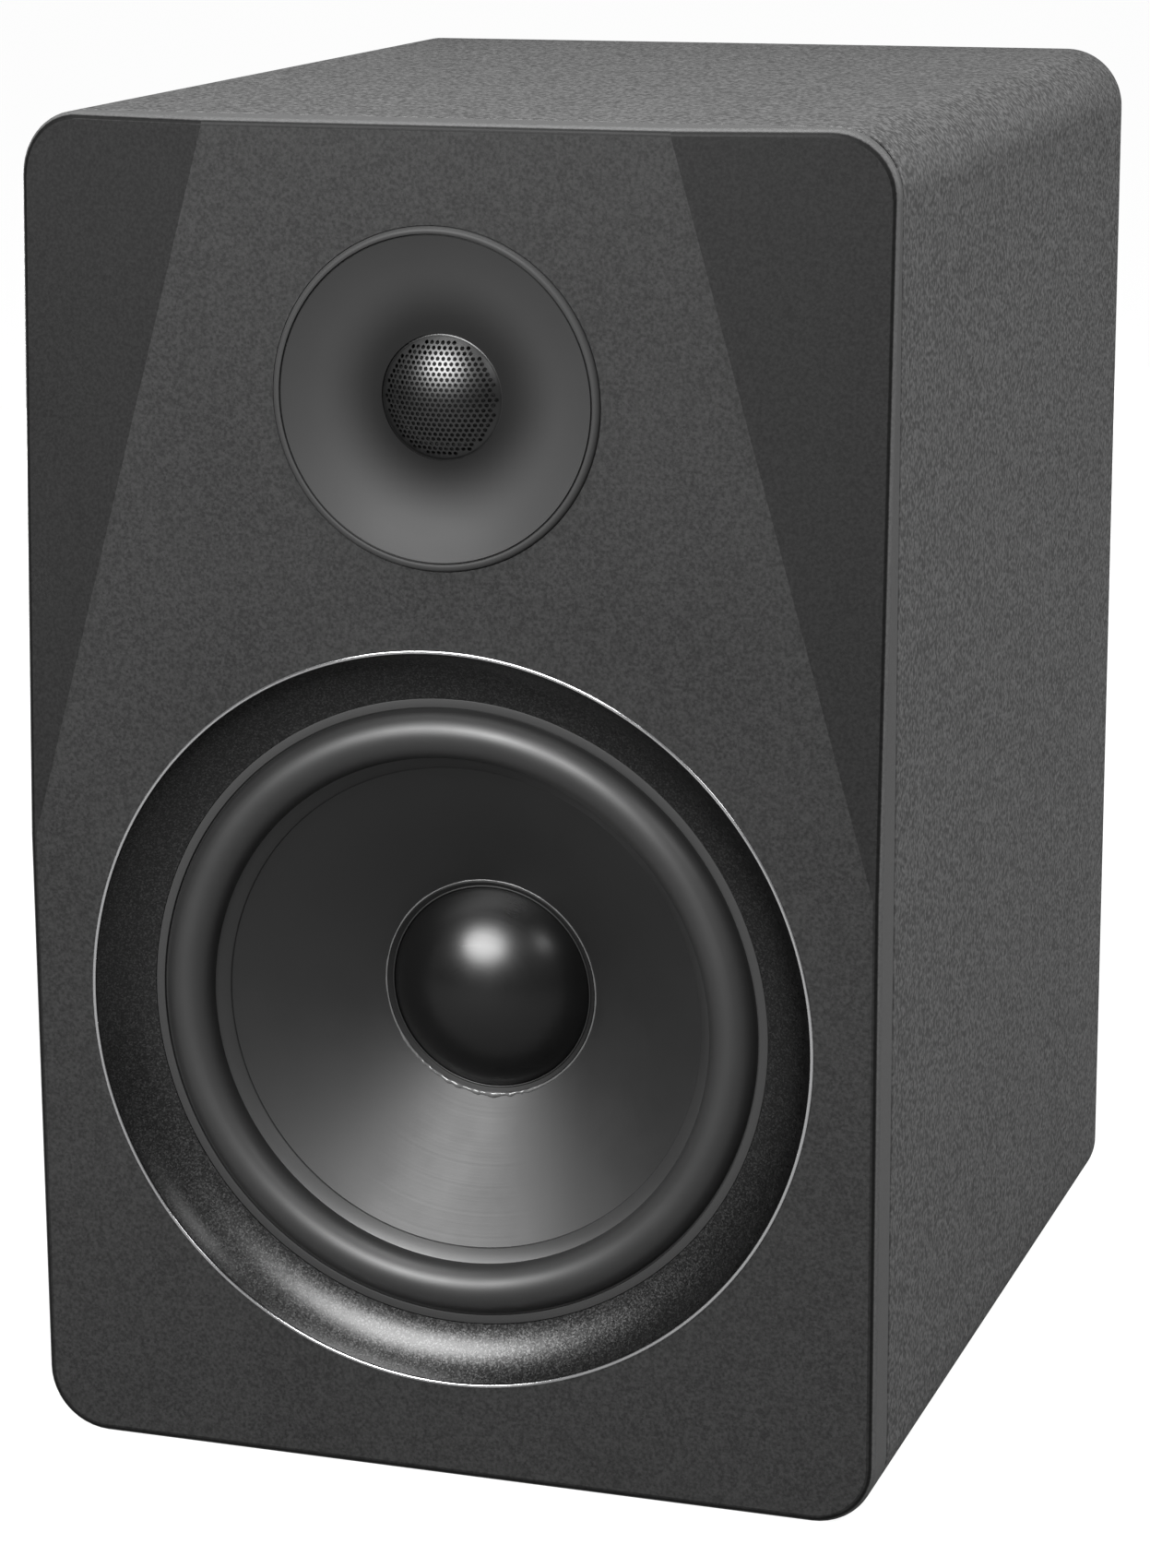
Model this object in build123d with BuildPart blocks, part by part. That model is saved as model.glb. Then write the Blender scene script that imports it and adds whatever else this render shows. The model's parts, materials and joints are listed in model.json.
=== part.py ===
"""Powered two-way bookshelf speaker: an 8 inch woofer and a 1 inch dome tweeter in a vinyl-wrapped box.

X runs across the front, Y into the depth and Z up. The origin is the middle of the box's bottom face.
The drivers' section planes measure depth behind the baffle's front face, then radius from the driver's axis.
"""

from build123d import *
from math import cos, pi, radians, sin, sqrt
import os

os.makedirs("parts", exist_ok=True)

# ------------------------------------------------------------------ driving sizes, mm
# Cabinet
cabinet_width = 254.0
cabinet_height = 390.0
cabinet_depth = 305.0
corner_radius = 18.4
wall = 15.0
inner_corner_radius = 3.4
shell_edge_radius = 0.8
panel_gap = 0.1

# Front baffle
baffle_thickness = 13.8
step_thickness = 6.2
step_gap = 0.5
baffle_edge_radius = 2.4
facet_width = 60.4
facet_length = 215.3
facet_depth = 11.4

# Woofer, from the rim inwards
woofer_z = 136.5
chrome_outer_radius = 108.4
chrome_width = 1.0
chrome_height = 4.0
chrome_stand = 0.3
rim_gap = 0.1
trim_width = 14.6
trim_depth = 10.0
trim_shoulder = 3.7
trim_hollow = 1.6
trim_relief = 0.8
gasket_width = 2.8
gasket_thickness = 1.0
gasket_overlap = 1.8
roll_inset = 0.6
roll_width = 14.0
roll_height = 7.1
rubber_thickness = 0.6
lip_width = 3.9
cone_rim_depth = 16.2
cone_slope = 0.612
cone_thickness = 1.0
cap_radius = 30.0
cap_flange_width = 2.1
cap_height = 15.0
cap_thickness = 0.6

# Woofer frame and motor
flange_thickness = 2.0
frame_wall = 2.4
frame_lip_overlap = 1.3
seal_thickness = 1.0
seal_width = 12.0
basket_clearance = 3.6
screw_circle_inset = 7.4
woofer_screw_count = 8
woofer_screw_radius = 2.0
woofer_screw_head_radius = 3.8
woofer_screw_head_height = 1.8
pan_head_height = 2.4
screw_hole_gap = 0.05
former_inner_radius = 19.0
former_thickness = 0.3
coil_thickness = 1.1
coil_length = 16.0
coil_middle_depth = 69.0
spider_depth = 56.0
spider_thickness = 0.5
spider_outer_radius = 47.5
spider_waves = 5
spider_wave_height = 1.4
frame_floor_depth = 66.0
top_plate_thickness = 6.0
top_plate_radius = 50.0
magnet_thickness = 18.0
magnet_radius = 60.0
magnet_hole_radius = 30.0
back_plate_thickness = 7.0
back_plate_radius = 56.0
magnet_gap = 0.5
pole_vent_radius = 6.0

# Tweeter
tweeter_drop = 75.2
waveguide_radius = 47.5
waveguide_thickness = 8.0
recess_gap = 0.2
rim_width = 2.1
rim_stand = 1.2
groove_depth = 1.0
throat_radius = 17.6
throat_depth = 5.5
horn_sag = 1.7
mesh_radius = 17.3
mesh_rise = 5.6
mesh_thickness = 0.6
mesh_flange_width = 1.5
dome_radius = 12.7
dome_rise = 4.5
dome_depth = 8.6
dome_thickness = 0.3
dome_roll_width = 3.4
suspension_thickness = 2.5
suspension_radius = 34.0
tweeter_hole_radius = 34.5
tweeter_coil_length = 6.0
tweeter_plate_thickness = 3.5
tweeter_plate_radius = 30.0
tweeter_magnet_thickness = 10.0
tweeter_magnet_radius = 32.0
tweeter_magnet_hole_radius = 18.0
tweeter_back_thickness = 4.0
tweeter_gap = 0.4
tweeter_screw_circle = 41.0
tweeter_screw_count = 4

# Port
port_drop = 70.0
port_bore_radius = 28.0
port_wall = 2.5
port_length = 120.0
port_flare_radius = 14.0
port_flange_width = 3.0
port_flange_stand = 2.0
port_hole_gap = 0.5

# Amplifier plate, on the rear panel
amp_z = 140.0
amp_width = 186.0
amp_height = 228.0
amp_corner_radius = 6.0
amp_plate_thickness = 2.0
amp_gasket_thickness = 0.8
amp_border = 13.0
amp_screw_inset = 6.5
amp_screw_radius = 1.8
amp_screw_head_radius = 3.6
amp_screw_head_height = 2.2
amp_screw_length = 14.0

# Heatsink
heatsink_side_inset = 15.0
heatsink_height = 62.0
heatsink_top_drop = 16.0
heatsink_base = 3.0
fin_height = 15.0
fin_thickness = 1.8
fin_count = 19

# Controls and sockets: x from the side of the hole behind the plate, z from the plate's bottom edge
control_z = 124.0
level_inset = 28.0
level_treble_pitch = 36.0
treble_bass_pitch = 32.0
level_knob_radius = 8.5
trim_knob_radius = 6.5
knob_height = 12.0
knob_lift = 3.0
spindle_radius = 3.0
spindle_gap = 0.05
pot_depth = 7.5
pot_width = 16.0
bushing_radius = 3.6
socket_z = 42.0
xlr_inset = 28.0
xlr_jack_pitch = 40.0
jack_bore_radius = 3.2
jack_length = 28.0
inlet_inset = 28.0
inlet_z = 40.0
switch_inset = 18.0
switch_z = 88.0
rocker_tilt = 8.0

# Electronics inside
board_gap = 24.0
board_thickness = 1.6
board_side_gap = 5.0
board_height = 116.0
capacitor_radius = 12.5
capacitor_length = 36.0
toroid_radius = 45.0
toroid_hole_radius = 14.0
toroid_height = 38.0
toroid_y = 52.0
bolt_radius = 3.0
bolt_bite = 10.0
pad_thickness = 2.0
foam_thickness = 19.0
lead_radius = 1.6

# ------------------------------------------------------------------ derived places and shared tools
front_y = -cabinet_depth / 2
rear_y = cabinet_depth / 2
seam_y = front_y + baffle_thickness
inner_width = cabinet_width - 2 * wall
inner_height = cabinet_height - 2 * wall
tweeter_z = cabinet_height - tweeter_drop
port_z = cabinet_height - port_drop
plate_inner_y = rear_y + amp_gasket_thickness
plate_outer_y = plate_inner_y + amp_plate_thickness
plate_bottom = amp_z - amp_height / 2


def facing_front(y, z=0.0, x=0.0):
    """A plane across the depth whose normal points out of the front."""
    return Plane(origin=(x, y, z), x_dir=(1, 0, 0), z_dir=(0, -1, 0))


def facing_rear(y, z=0.0, x=0.0):
    """A plane across the depth whose normal points out of the rear. Its own x axis runs along -X."""
    return Plane(origin=(x, y, z), x_dir=(-1, 0, 0), z_dir=(0, 1, 0))


def section(y, z, x=0.0):
    """A plane through an axis along Y: its own x is the distance along +Y and its own y the radius."""
    return Plane(origin=(x, y, z), x_dir=(0, 1, 0), z_dir=(1, 0, 0))


def axis_along_y(z, x=0.0):
    """The line along +Y at x and z."""
    return Axis((x, front_y, z), (0, 1, 0))


def finish_piece(builder, name):
    """Labels a finished piece and writes its STEP file."""
    builder.part.label = name
    export_step(builder.part, f"parts/{name}.step")


woofer_section = section(front_y, woofer_z)
woofer_axis = axis_along_y(woofer_z)
tweeter_section = section(front_y, tweeter_z)
tweeter_axis = axis_along_y(tweeter_z)

# Woofer radii and depths, worked inwards and backwards from the trim
recess_radius = chrome_outer_radius + rim_gap
trim_outer_radius = chrome_outer_radius - chrome_width - rim_gap
trim_inner_radius = trim_outer_radius - trim_width
gasket_outer_radius = trim_inner_radius + gasket_overlap
gasket_inner_radius = trim_inner_radius - gasket_width
roll_outer_radius = gasket_inner_radius - roll_inset
roll_inner_radius = roll_outer_radius - roll_width
cone_visible_radius = roll_inner_radius - lip_width
cone_outer_radius = roll_inner_radius + rubber_thickness
foot_depth = trim_depth + gasket_thickness
flange_depth = foot_depth + rubber_thickness
flange_radius = recess_radius - rim_gap - 1.0
seal_depth = flange_depth + flange_thickness
frame_lip_radius = roll_outer_radius - frame_lip_overlap
woofer_hole_radius = frame_lip_radius + frame_wall + basket_clearance
recess_depth = seal_depth + seal_thickness
baffle_back_depth = baffle_thickness + step_thickness
screw_circle = recess_radius - screw_circle_inset
former_outer_radius = former_inner_radius + former_thickness
coil_radius = former_outer_radius + coil_thickness


def cone_depth(radius):
    """Depth of the cone's front face at a radius."""
    return cone_rim_depth + cone_slope * (cone_visible_radius - radius)


def cap_arc(radius, rise, base_depth):
    """Three points of a domed cap's section, from its foot to its crown on the axis."""
    sphere = (radius**2 + rise**2) / (2 * rise)
    middle_radius = radius / 2
    middle_rise = rise - sphere + sqrt(sphere**2 - middle_radius**2)
    return (base_depth, radius), (base_depth - middle_rise, middle_radius), (base_depth - rise, 0)


# ------------------------------------------------------------------ cabinet

with BuildPart() as cabinet_shell:
    with BuildSketch(facing_rear(seam_y, cabinet_height / 2)):
        RectangleRounded(cabinet_width, cabinet_height, corner_radius)
        RectangleRounded(inner_width, inner_height, inner_corner_radius, mode=Mode.SUBTRACT)
    extrude(amount=rear_y - seam_y)
    for end_face in (cabinet_shell.faces().sort_by(Axis.Y)[0], cabinet_shell.faces().sort_by(Axis.Y)[-1]):
        fillet(end_face.outer_wire().edges(), shell_edge_radius)
    # A blind insert in the floor takes the transformer's bolt.
    with BuildSketch(Plane.XY.offset(wall - bolt_bite)):
        with Locations((0, toroid_y)):
            Circle(bolt_radius)
    extrude(amount=bolt_bite, mode=Mode.SUBTRACT)
finish_piece(cabinet_shell, "cabinet_shell")

def is_crease(edge):
    """True for the long line across the front face where a facet starts."""
    start, end = edge @ 0, edge @ 1
    in_front_plane = max(abs(start.Y - front_y), abs(end.Y - front_y)) < 0.01
    return in_front_plane and abs(start.X - end.X) > 1 and abs(start.Z - end.Z) > facet_length / 2


with BuildPart() as front_baffle:
    with BuildSketch(facing_rear(front_y, cabinet_height / 2)):
        RectangleRounded(cabinet_width, cabinet_height, corner_radius)
    extrude(amount=baffle_thickness)
    # A flat facet slopes back towards each top corner, from a crease across the front face.
    for side in (-1, 1):
        crease_top = Vector(side * (cabinet_width / 2 - facet_width), front_y, cabinet_height)
        crease_low = Vector(side * cabinet_width / 2, front_y, cabinet_height - facet_length)
        deep_corner = Vector(side * cabinet_width / 2, front_y + facet_depth, cabinet_height)
        normal = (crease_low - crease_top).cross(deep_corner - crease_top) * side
        split(bisect_by=Plane(origin=crease_top, z_dir=normal), keep=Keep.BOTTOM)
    front_edges = front_baffle.edges().filter_by(
        lambda edge: edge.center().Y < seam_y - 1 and abs(edge.tangent_at(0.5).Y) < 0.9
    )
    outline_edges = front_edges.filter_by(lambda edge: not is_crease(edge))
    fillet(outline_edges, baffle_edge_radius)
    # A step behind it locates the baffle inside the cabinet's mouth.
    with BuildSketch(facing_rear(seam_y, cabinet_height / 2)):
        RectangleRounded(inner_width - 2 * step_gap, inner_height - 2 * step_gap, inner_corner_radius)
    extrude(amount=step_thickness)
    with BuildSketch(facing_front(front_y - 1, woofer_z)):
        Circle(recess_radius)
    extrude(amount=-(recess_depth + 1), mode=Mode.SUBTRACT)
    with BuildSketch(facing_front(front_y, woofer_z)):
        Circle(woofer_hole_radius)
        with PolarLocations(screw_circle, woofer_screw_count, start_angle=22.5):
            Circle(woofer_screw_radius + screw_hole_gap)
    extrude(amount=-baffle_back_depth, mode=Mode.SUBTRACT)
    with BuildSketch(facing_front(front_y - 1, tweeter_z)):
        Circle(waveguide_radius + recess_gap)
    extrude(amount=-(waveguide_thickness + 1), mode=Mode.SUBTRACT)
    with BuildSketch(facing_front(front_y, tweeter_z)):
        Circle(tweeter_hole_radius)
        with PolarLocations(tweeter_screw_circle, tweeter_screw_count, start_angle=45):
            Circle(woofer_screw_radius + screw_hole_gap)
    extrude(amount=-baffle_back_depth, mode=Mode.SUBTRACT)
finish_piece(front_baffle, "front_baffle")

amp_hole_width = amp_width - 2 * amp_border
amp_hole_height = amp_height - 2 * amp_border
hole_side_x = amp_hole_width / 2
heatsink_width = amp_width - 2 * heatsink_side_inset
board_width = amp_hole_width - 2 * board_side_gap
level_x = hole_side_x - level_inset
treble_x = level_x - level_treble_pitch
bass_x = treble_x - treble_bass_pitch
xlr_x = hole_side_x - xlr_inset
jack_x = xlr_x - xlr_jack_pitch
inlet_x = inlet_inset - hole_side_x
switch_x = switch_inset - hole_side_x
amp_screw_x = amp_width / 2 - amp_screw_inset
amp_screw_z = amp_height / 2 - amp_screw_inset
amp_screw_places = [(x, z) for x in (-amp_screw_x, amp_screw_x) for z in (-amp_screw_z, 0, amp_screw_z)]
amp_screw_places += [(x, z) for x in (-amp_screw_x / 3, amp_screw_x / 3) for z in (-amp_screw_z, amp_screw_z)]
port_tube_radius = port_bore_radius + port_wall
flare_mouth_radius = port_bore_radius + port_flare_radius
port_hole_radius = flare_mouth_radius - port_flange_stand

with BuildPart() as rear_panel:
    with BuildSketch(facing_rear(rear_y - wall, cabinet_height / 2)):
        RectangleRounded(inner_width - 2 * panel_gap, inner_height - 2 * panel_gap, inner_corner_radius)
    extrude(amount=wall)
    with BuildSketch(facing_rear(rear_y - wall, amp_z)):
        Rectangle(amp_hole_width, amp_hole_height)
        with Locations(*amp_screw_places):
            Circle(amp_screw_radius + screw_hole_gap)
    extrude(amount=wall, mode=Mode.SUBTRACT)
    with BuildSketch(facing_rear(rear_y - wall, port_z)):
        Circle(port_hole_radius + port_hole_gap)
    extrude(amount=wall, mode=Mode.SUBTRACT)
finish_piece(rear_panel, "rear_panel")

with BuildPart() as port_tube:
    with BuildSketch(section(rear_y, port_z)):
        with BuildLine():
            arc_start = (port_flange_stand - port_flare_radius, port_bore_radius)
            arc_end = (port_flange_stand, flare_mouth_radius)
            bend = port_flare_radius * (1 - cos(pi / 4))
            arc_middle = (port_flange_stand - bend, port_bore_radius + bend)
            Line((-port_length, port_bore_radius), arc_start)
            ThreePointArc(arc_start, arc_middle, arc_end)
            Polyline(
                arc_end,
                (port_flange_stand, flare_mouth_radius + port_flange_width),
                (0, flare_mouth_radius + port_flange_width),
                (0, port_hole_radius),
                (port_flange_stand - port_flare_radius, port_tube_radius),
                (-port_length, port_tube_radius),
                (-port_length, port_bore_radius),
            )
        make_face()
    revolve(axis=axis_along_y(port_z))
finish_piece(port_tube, "port_tube")

# Sound-absorbing foam lines the two side walls and the top.
foam_front_y = front_y + frame_floor_depth
foam_length = rear_y - wall - foam_front_y - foam_thickness
foam_side_height = inner_height * 0.6
foam_middle_y = foam_front_y + foam_length / 2
foam_x = inner_width / 2 - foam_thickness / 2
with BuildPart() as damping_foam:
    with Locations(
        (-foam_x, foam_middle_y, cabinet_height / 2),
        (foam_x, foam_middle_y, cabinet_height / 2),
    ):
        Box(foam_thickness, foam_length, foam_side_height)
    with Locations((0, foam_middle_y, cabinet_height - wall - foam_thickness / 2)):
        Box(inner_width - 3 * foam_thickness, foam_length, foam_thickness)
finish_piece(damping_foam, "damping_foam")

# ------------------------------------------------------------------ woofer rim

with BuildPart() as woofer_chrome_ring:
    with BuildSketch(section(front_y - chrome_stand + chrome_height / 2, woofer_z)):
        with Locations((0, chrome_outer_radius - chrome_width / 2)):
            Rectangle(chrome_height, chrome_width)
    revolve(axis=woofer_axis)
    fillet(woofer_chrome_ring.edges().group_by(Axis.Y)[0], chrome_width * 0.4)
finish_piece(woofer_chrome_ring, "woofer_chrome_ring")

trim_start = (chrome_stand, trim_outer_radius)
trim_end = (trim_depth, trim_inner_radius)
trim_chord = sqrt((trim_end[0] - trim_start[0]) ** 2 + (trim_end[1] - trim_start[1]) ** 2)
trim_middle = (
    (trim_start[0] + trim_end[0]) / 2 + trim_hollow * trim_width / trim_chord,
    (trim_start[1] + trim_end[1]) / 2 + trim_hollow * (trim_depth - chrome_stand) / trim_chord,
)
relief_depth = flange_depth - trim_relief
with BuildPart() as woofer_trim_ring:
    with BuildSketch(woofer_section):
        with BuildLine():
            ThreePointArc(trim_start, trim_middle, trim_end)
            Polyline(
                trim_end,
                (foot_depth, trim_inner_radius),
                (foot_depth, gasket_outer_radius + rim_gap),
                (flange_depth, gasket_outer_radius + rim_gap),
                (flange_depth, screw_circle - woofer_screw_head_radius - 1),
                (relief_depth, screw_circle - woofer_screw_head_radius - 1),
                (relief_depth, screw_circle + woofer_screw_head_radius + 0.5),
                (flange_depth, screw_circle + woofer_screw_head_radius + 0.5),
                (flange_depth, flange_radius),
                (trim_shoulder + rim_gap, flange_radius),
                (trim_shoulder + rim_gap, trim_outer_radius),
                trim_start,
            )
        make_face()
    revolve(axis=woofer_axis)
finish_piece(woofer_trim_ring, "woofer_trim_ring")

with BuildPart() as woofer_gasket:
    with BuildSketch(woofer_section):
        with Locations((trim_depth + gasket_thickness / 2, trim_inner_radius - gasket_width / 2)):
            Rectangle(gasket_thickness, gasket_width - 2 * panel_gap)
    revolve(axis=woofer_axis)
finish_piece(woofer_gasket, "woofer_gasket")

with BuildPart() as woofer_seal:
    with BuildSketch(woofer_section):
        with Locations((seal_depth + seal_thickness / 2, flange_radius - seal_width / 2)):
            Rectangle(seal_thickness, seal_width)
    revolve(axis=woofer_axis)
    with BuildSketch(facing_front(front_y + seal_depth, woofer_z)):
        with PolarLocations(screw_circle, woofer_screw_count, start_angle=22.5):
            Circle(woofer_screw_radius + screw_hole_gap)
    extrude(amount=-seal_thickness, mode=Mode.SUBTRACT)
finish_piece(woofer_seal, "woofer_seal")

# ------------------------------------------------------------------ woofer diaphragm

lip_inner_depth = cone_depth(cone_visible_radius) - rubber_thickness
lip_outer_depth = cone_depth(roll_inner_radius) - rubber_thickness
roll_middle_radius = (roll_outer_radius + roll_inner_radius) / 2
roll_top_depth = (foot_depth + lip_outer_depth) / 2 - roll_height
with BuildPart() as woofer_surround:
    with BuildSketch(woofer_section):
        with BuildLine():
            Line((foot_depth, gasket_outer_radius), (foot_depth, roll_outer_radius))
            ThreePointArc(
                (foot_depth, roll_outer_radius),
                (roll_top_depth, roll_middle_radius),
                (lip_outer_depth, roll_inner_radius),
            )
            Polyline(
                (lip_outer_depth, roll_inner_radius),
                (lip_inner_depth, cone_visible_radius),
                (lip_inner_depth + rubber_thickness, cone_visible_radius),
                (cone_depth(cone_outer_radius), cone_outer_radius),
            )
            ThreePointArc(
                (cone_depth(cone_outer_radius), cone_outer_radius),
                (roll_top_depth + rubber_thickness, roll_middle_radius),
                (flange_depth, roll_outer_radius - rubber_thickness),
            )
            Polyline(
                (flange_depth, roll_outer_radius - rubber_thickness),
                (flange_depth, gasket_outer_radius),
                (foot_depth, gasket_outer_radius),
            )
        make_face()
    revolve(axis=woofer_axis)
finish_piece(woofer_surround, "woofer_surround")

with BuildPart() as woofer_cone:
    with BuildSketch(woofer_section):
        with BuildLine():
            Polyline(
                (cone_depth(cone_outer_radius), cone_outer_radius),
                (cone_depth(former_outer_radius), former_outer_radius),
                (cone_depth(former_outer_radius) + cone_thickness, former_outer_radius),
                (cone_depth(cone_outer_radius) + cone_thickness, cone_outer_radius),
                close=True,
            )
        make_face()
    revolve(axis=woofer_axis)
finish_piece(woofer_cone, "woofer_cone")

cap_outer_radius = cap_radius + cap_flange_width
cap_base_depth = cone_depth(cap_radius) - cap_thickness
cap_hem_radius = cap_radius - cap_thickness
cap_hem_depth = cone_depth(cap_hem_radius)
cap_outside = cap_arc(cap_radius, cap_height, cap_base_depth)
cap_inside = cap_arc(cap_hem_radius, cap_hem_depth - cap_outside[2][0] - cap_thickness, cap_hem_depth)
with BuildPart() as woofer_dust_cap:
    with BuildSketch(woofer_section):
        with BuildLine():
            ThreePointArc(*cap_outside)
            Line(cap_outside[2], cap_inside[2])
            ThreePointArc(*reversed(cap_inside))
            Polyline(
                cap_inside[0],
                (cone_depth(cap_outer_radius), cap_outer_radius),
                (cone_depth(cap_outer_radius) - cap_thickness, cap_outer_radius),
                cap_outside[0],
            )
        make_face()
    revolve(axis=woofer_axis)
finish_piece(woofer_dust_cap, "woofer_dust_cap")

coil_start_depth = coil_middle_depth - coil_length / 2
coil_end_depth = coil_middle_depth + coil_length / 2
former_start_depth = cone_depth(former_outer_radius) - 1
with BuildPart() as woofer_coil_former:
    with BuildSketch(facing_front(front_y + former_start_depth, woofer_z)):
        Circle(former_outer_radius)
        Circle(former_inner_radius, mode=Mode.SUBTRACT)
    extrude(amount=-(coil_end_depth + 1 - former_start_depth))
finish_piece(woofer_coil_former, "woofer_coil_former")

with BuildPart() as woofer_voice_coil:
    with BuildSketch(facing_front(front_y + coil_start_depth, woofer_z)):
        Circle(coil_radius)
        Circle(former_outer_radius, mode=Mode.SUBTRACT)
    extrude(amount=-coil_length)
finish_piece(woofer_voice_coil, "woofer_voice_coil")

# The spider is a cloth disc pressed into concentric waves, flat at both rims.
spider_flat = 3.5
spider_steps = 8 * spider_waves
spider_run = spider_outer_radius - former_outer_radius - 2 * spider_flat
spider_line = [(spider_depth, former_outer_radius), (spider_depth, former_outer_radius + spider_flat)]
for step in range(1, spider_steps):
    share = step / spider_steps
    spider_line.append(
        (
            spider_depth - spider_wave_height * sin(2 * pi * spider_waves * share),
            former_outer_radius + spider_flat + spider_run * share,
        )
    )
spider_line += [(spider_depth, spider_outer_radius - spider_flat), (spider_depth, spider_outer_radius)]
with BuildPart() as woofer_spider:
    with BuildSketch(woofer_section):
        with BuildLine():
            Polyline(
                *spider_line,
                *[(depth + spider_thickness, radius) for depth, radius in reversed(spider_line)],
                close=True,
            )
        make_face()
    revolve(axis=woofer_axis)
finish_piece(woofer_spider, "woofer_spider")

# ------------------------------------------------------------------ woofer frame and motor

ledge_depth = spider_depth + spider_thickness
ledge_inner_radius = spider_outer_radius - spider_flat
frame_waist_radius = spider_outer_radius + 1.5
spoke_window_inner = frame_waist_radius + 6
spoke_window_outer = frame_lip_radius - 4
window_half_inner = 17.0
window_half_outer = 32.0
terminal_pad_end = ledge_depth + frame_wall + 2
terminal_pad_height = 7.0
with BuildPart() as woofer_basket:
    with BuildSketch(woofer_section):
        with BuildLine():
            Polyline(
                (flange_depth, flange_radius),
                (flange_depth, frame_lip_radius),
                (flange_depth + 10, frame_lip_radius - 2),
                (ledge_depth - 6, frame_waist_radius + 3),
                (ledge_depth, frame_waist_radius),
                (ledge_depth, ledge_inner_radius),
                (frame_floor_depth - frame_wall, ledge_inner_radius),
                (frame_floor_depth - frame_wall, coil_radius + 6),
                (frame_floor_depth, coil_radius + 6),
                (frame_floor_depth, ledge_inner_radius + frame_wall),
                (ledge_depth + frame_wall, frame_waist_radius + frame_wall),
                (ledge_depth - 4, frame_waist_radius + 3 + frame_wall),
                (flange_depth + 11, frame_lip_radius - 2 + frame_wall),
                (seal_depth, frame_lip_radius + frame_wall),
                (seal_depth, flange_radius),
                close=True,
            )
        make_face()
    revolve(axis=woofer_axis)
    with BuildSketch(facing_front(front_y + flange_depth + 10, woofer_z)):
        with PolarLocations(0, 6):
            Polygon(
                (spoke_window_inner, -window_half_inner),
                (spoke_window_outer, -window_half_outer),
                (spoke_window_outer, window_half_outer),
                (spoke_window_inner, window_half_inner),
                align=None,
            )
    extrude(amount=-(ledge_depth - flange_depth - 8), mode=Mode.SUBTRACT)
    with BuildSketch(facing_front(front_y + flange_depth, woofer_z)):
        with PolarLocations(screw_circle, woofer_screw_count, start_angle=22.5):
            Circle(woofer_screw_radius + screw_hole_gap)
    extrude(amount=-flange_thickness, mode=Mode.SUBTRACT)
    with BuildSketch(facing_front(front_y + flange_depth, woofer_z)):
        with PolarLocations(screw_circle, woofer_screw_count, start_angle=22.5):
            Circle(woofer_screw_head_radius + screw_hole_gap)
    extrude(amount=-woofer_screw_head_height, taper=45, mode=Mode.SUBTRACT)
    pad_middle = woofer_z + frame_waist_radius + 0.5 + terminal_pad_height / 2
    with BuildSketch(facing_front(front_y + ledge_depth - 4, pad_middle)):
        Rectangle(16, terminal_pad_height)
    extrude(amount=-(terminal_pad_end - ledge_depth + 4))
finish_piece(woofer_basket, "woofer_basket")

top_plate_end = frame_floor_depth + top_plate_thickness
magnet_end = top_plate_end + magnet_thickness
with BuildPart() as woofer_top_plate:
    with BuildSketch(facing_front(front_y + frame_floor_depth, woofer_z)):
        Circle(top_plate_radius)
        Circle(coil_radius + magnet_gap, mode=Mode.SUBTRACT)
    extrude(amount=-top_plate_thickness)
finish_piece(woofer_top_plate, "woofer_top_plate")

with BuildPart() as woofer_magnet:
    with BuildSketch(facing_front(front_y + top_plate_end, woofer_z)):
        Circle(magnet_radius)
        Circle(magnet_hole_radius, mode=Mode.SUBTRACT)
    extrude(amount=-magnet_thickness)
    chamfer(woofer_magnet.edges().filter_by(GeomType.CIRCLE).sort_by(SortBy.RADIUS)[-2:], 1.5)
finish_piece(woofer_magnet, "woofer_magnet")

with BuildPart() as woofer_yoke:
    with BuildSketch(facing_front(front_y + magnet_end, woofer_z)):
        Circle(back_plate_radius)
    extrude(amount=-back_plate_thickness)
    chamfer(woofer_yoke.edges().group_by(Axis.Y)[-1], 3)
    with BuildSketch(facing_front(front_y + frame_floor_depth, woofer_z)):
        Circle(former_inner_radius - magnet_gap)
    extrude(amount=-(magnet_end - frame_floor_depth))
    with BuildSketch(facing_front(front_y + frame_floor_depth, woofer_z)):
        Circle(pole_vent_radius)
    extrude(amount=-(magnet_end + back_plate_thickness - frame_floor_depth), mode=Mode.SUBTRACT)
finish_piece(woofer_yoke, "woofer_yoke")

# The terminal strip is fixed to a pad on the frame's upper spoke and clears the magnet.
terminal_width = 24.0
terminal_thickness = 1.6
tab_width = 6.3
tab_length = 9.0
tab_thickness = 0.8
tab_rise = 10.0
woofer_terminal_y = front_y + terminal_pad_end + terminal_thickness / 2
woofer_terminal_low = woofer_z + frame_waist_radius + 1
woofer_tab_z = woofer_z + magnet_radius + tab_rise
woofer_terminal_top = woofer_tab_z + tab_width
with BuildPart() as woofer_terminals:
    with Locations((0, woofer_terminal_y, (woofer_terminal_low + woofer_terminal_top) / 2)):
        Box(terminal_width, terminal_thickness, woofer_terminal_top - woofer_terminal_low)
    with Locations(
        *[
            (x, woofer_terminal_y + (tab_length + terminal_thickness) / 2, woofer_tab_z)
            for x in (-terminal_width / 4, terminal_width / 4)
        ]
    ):
        Box(tab_thickness, tab_length, tab_width)
finish_piece(woofer_terminals, "woofer_terminals")

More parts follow.
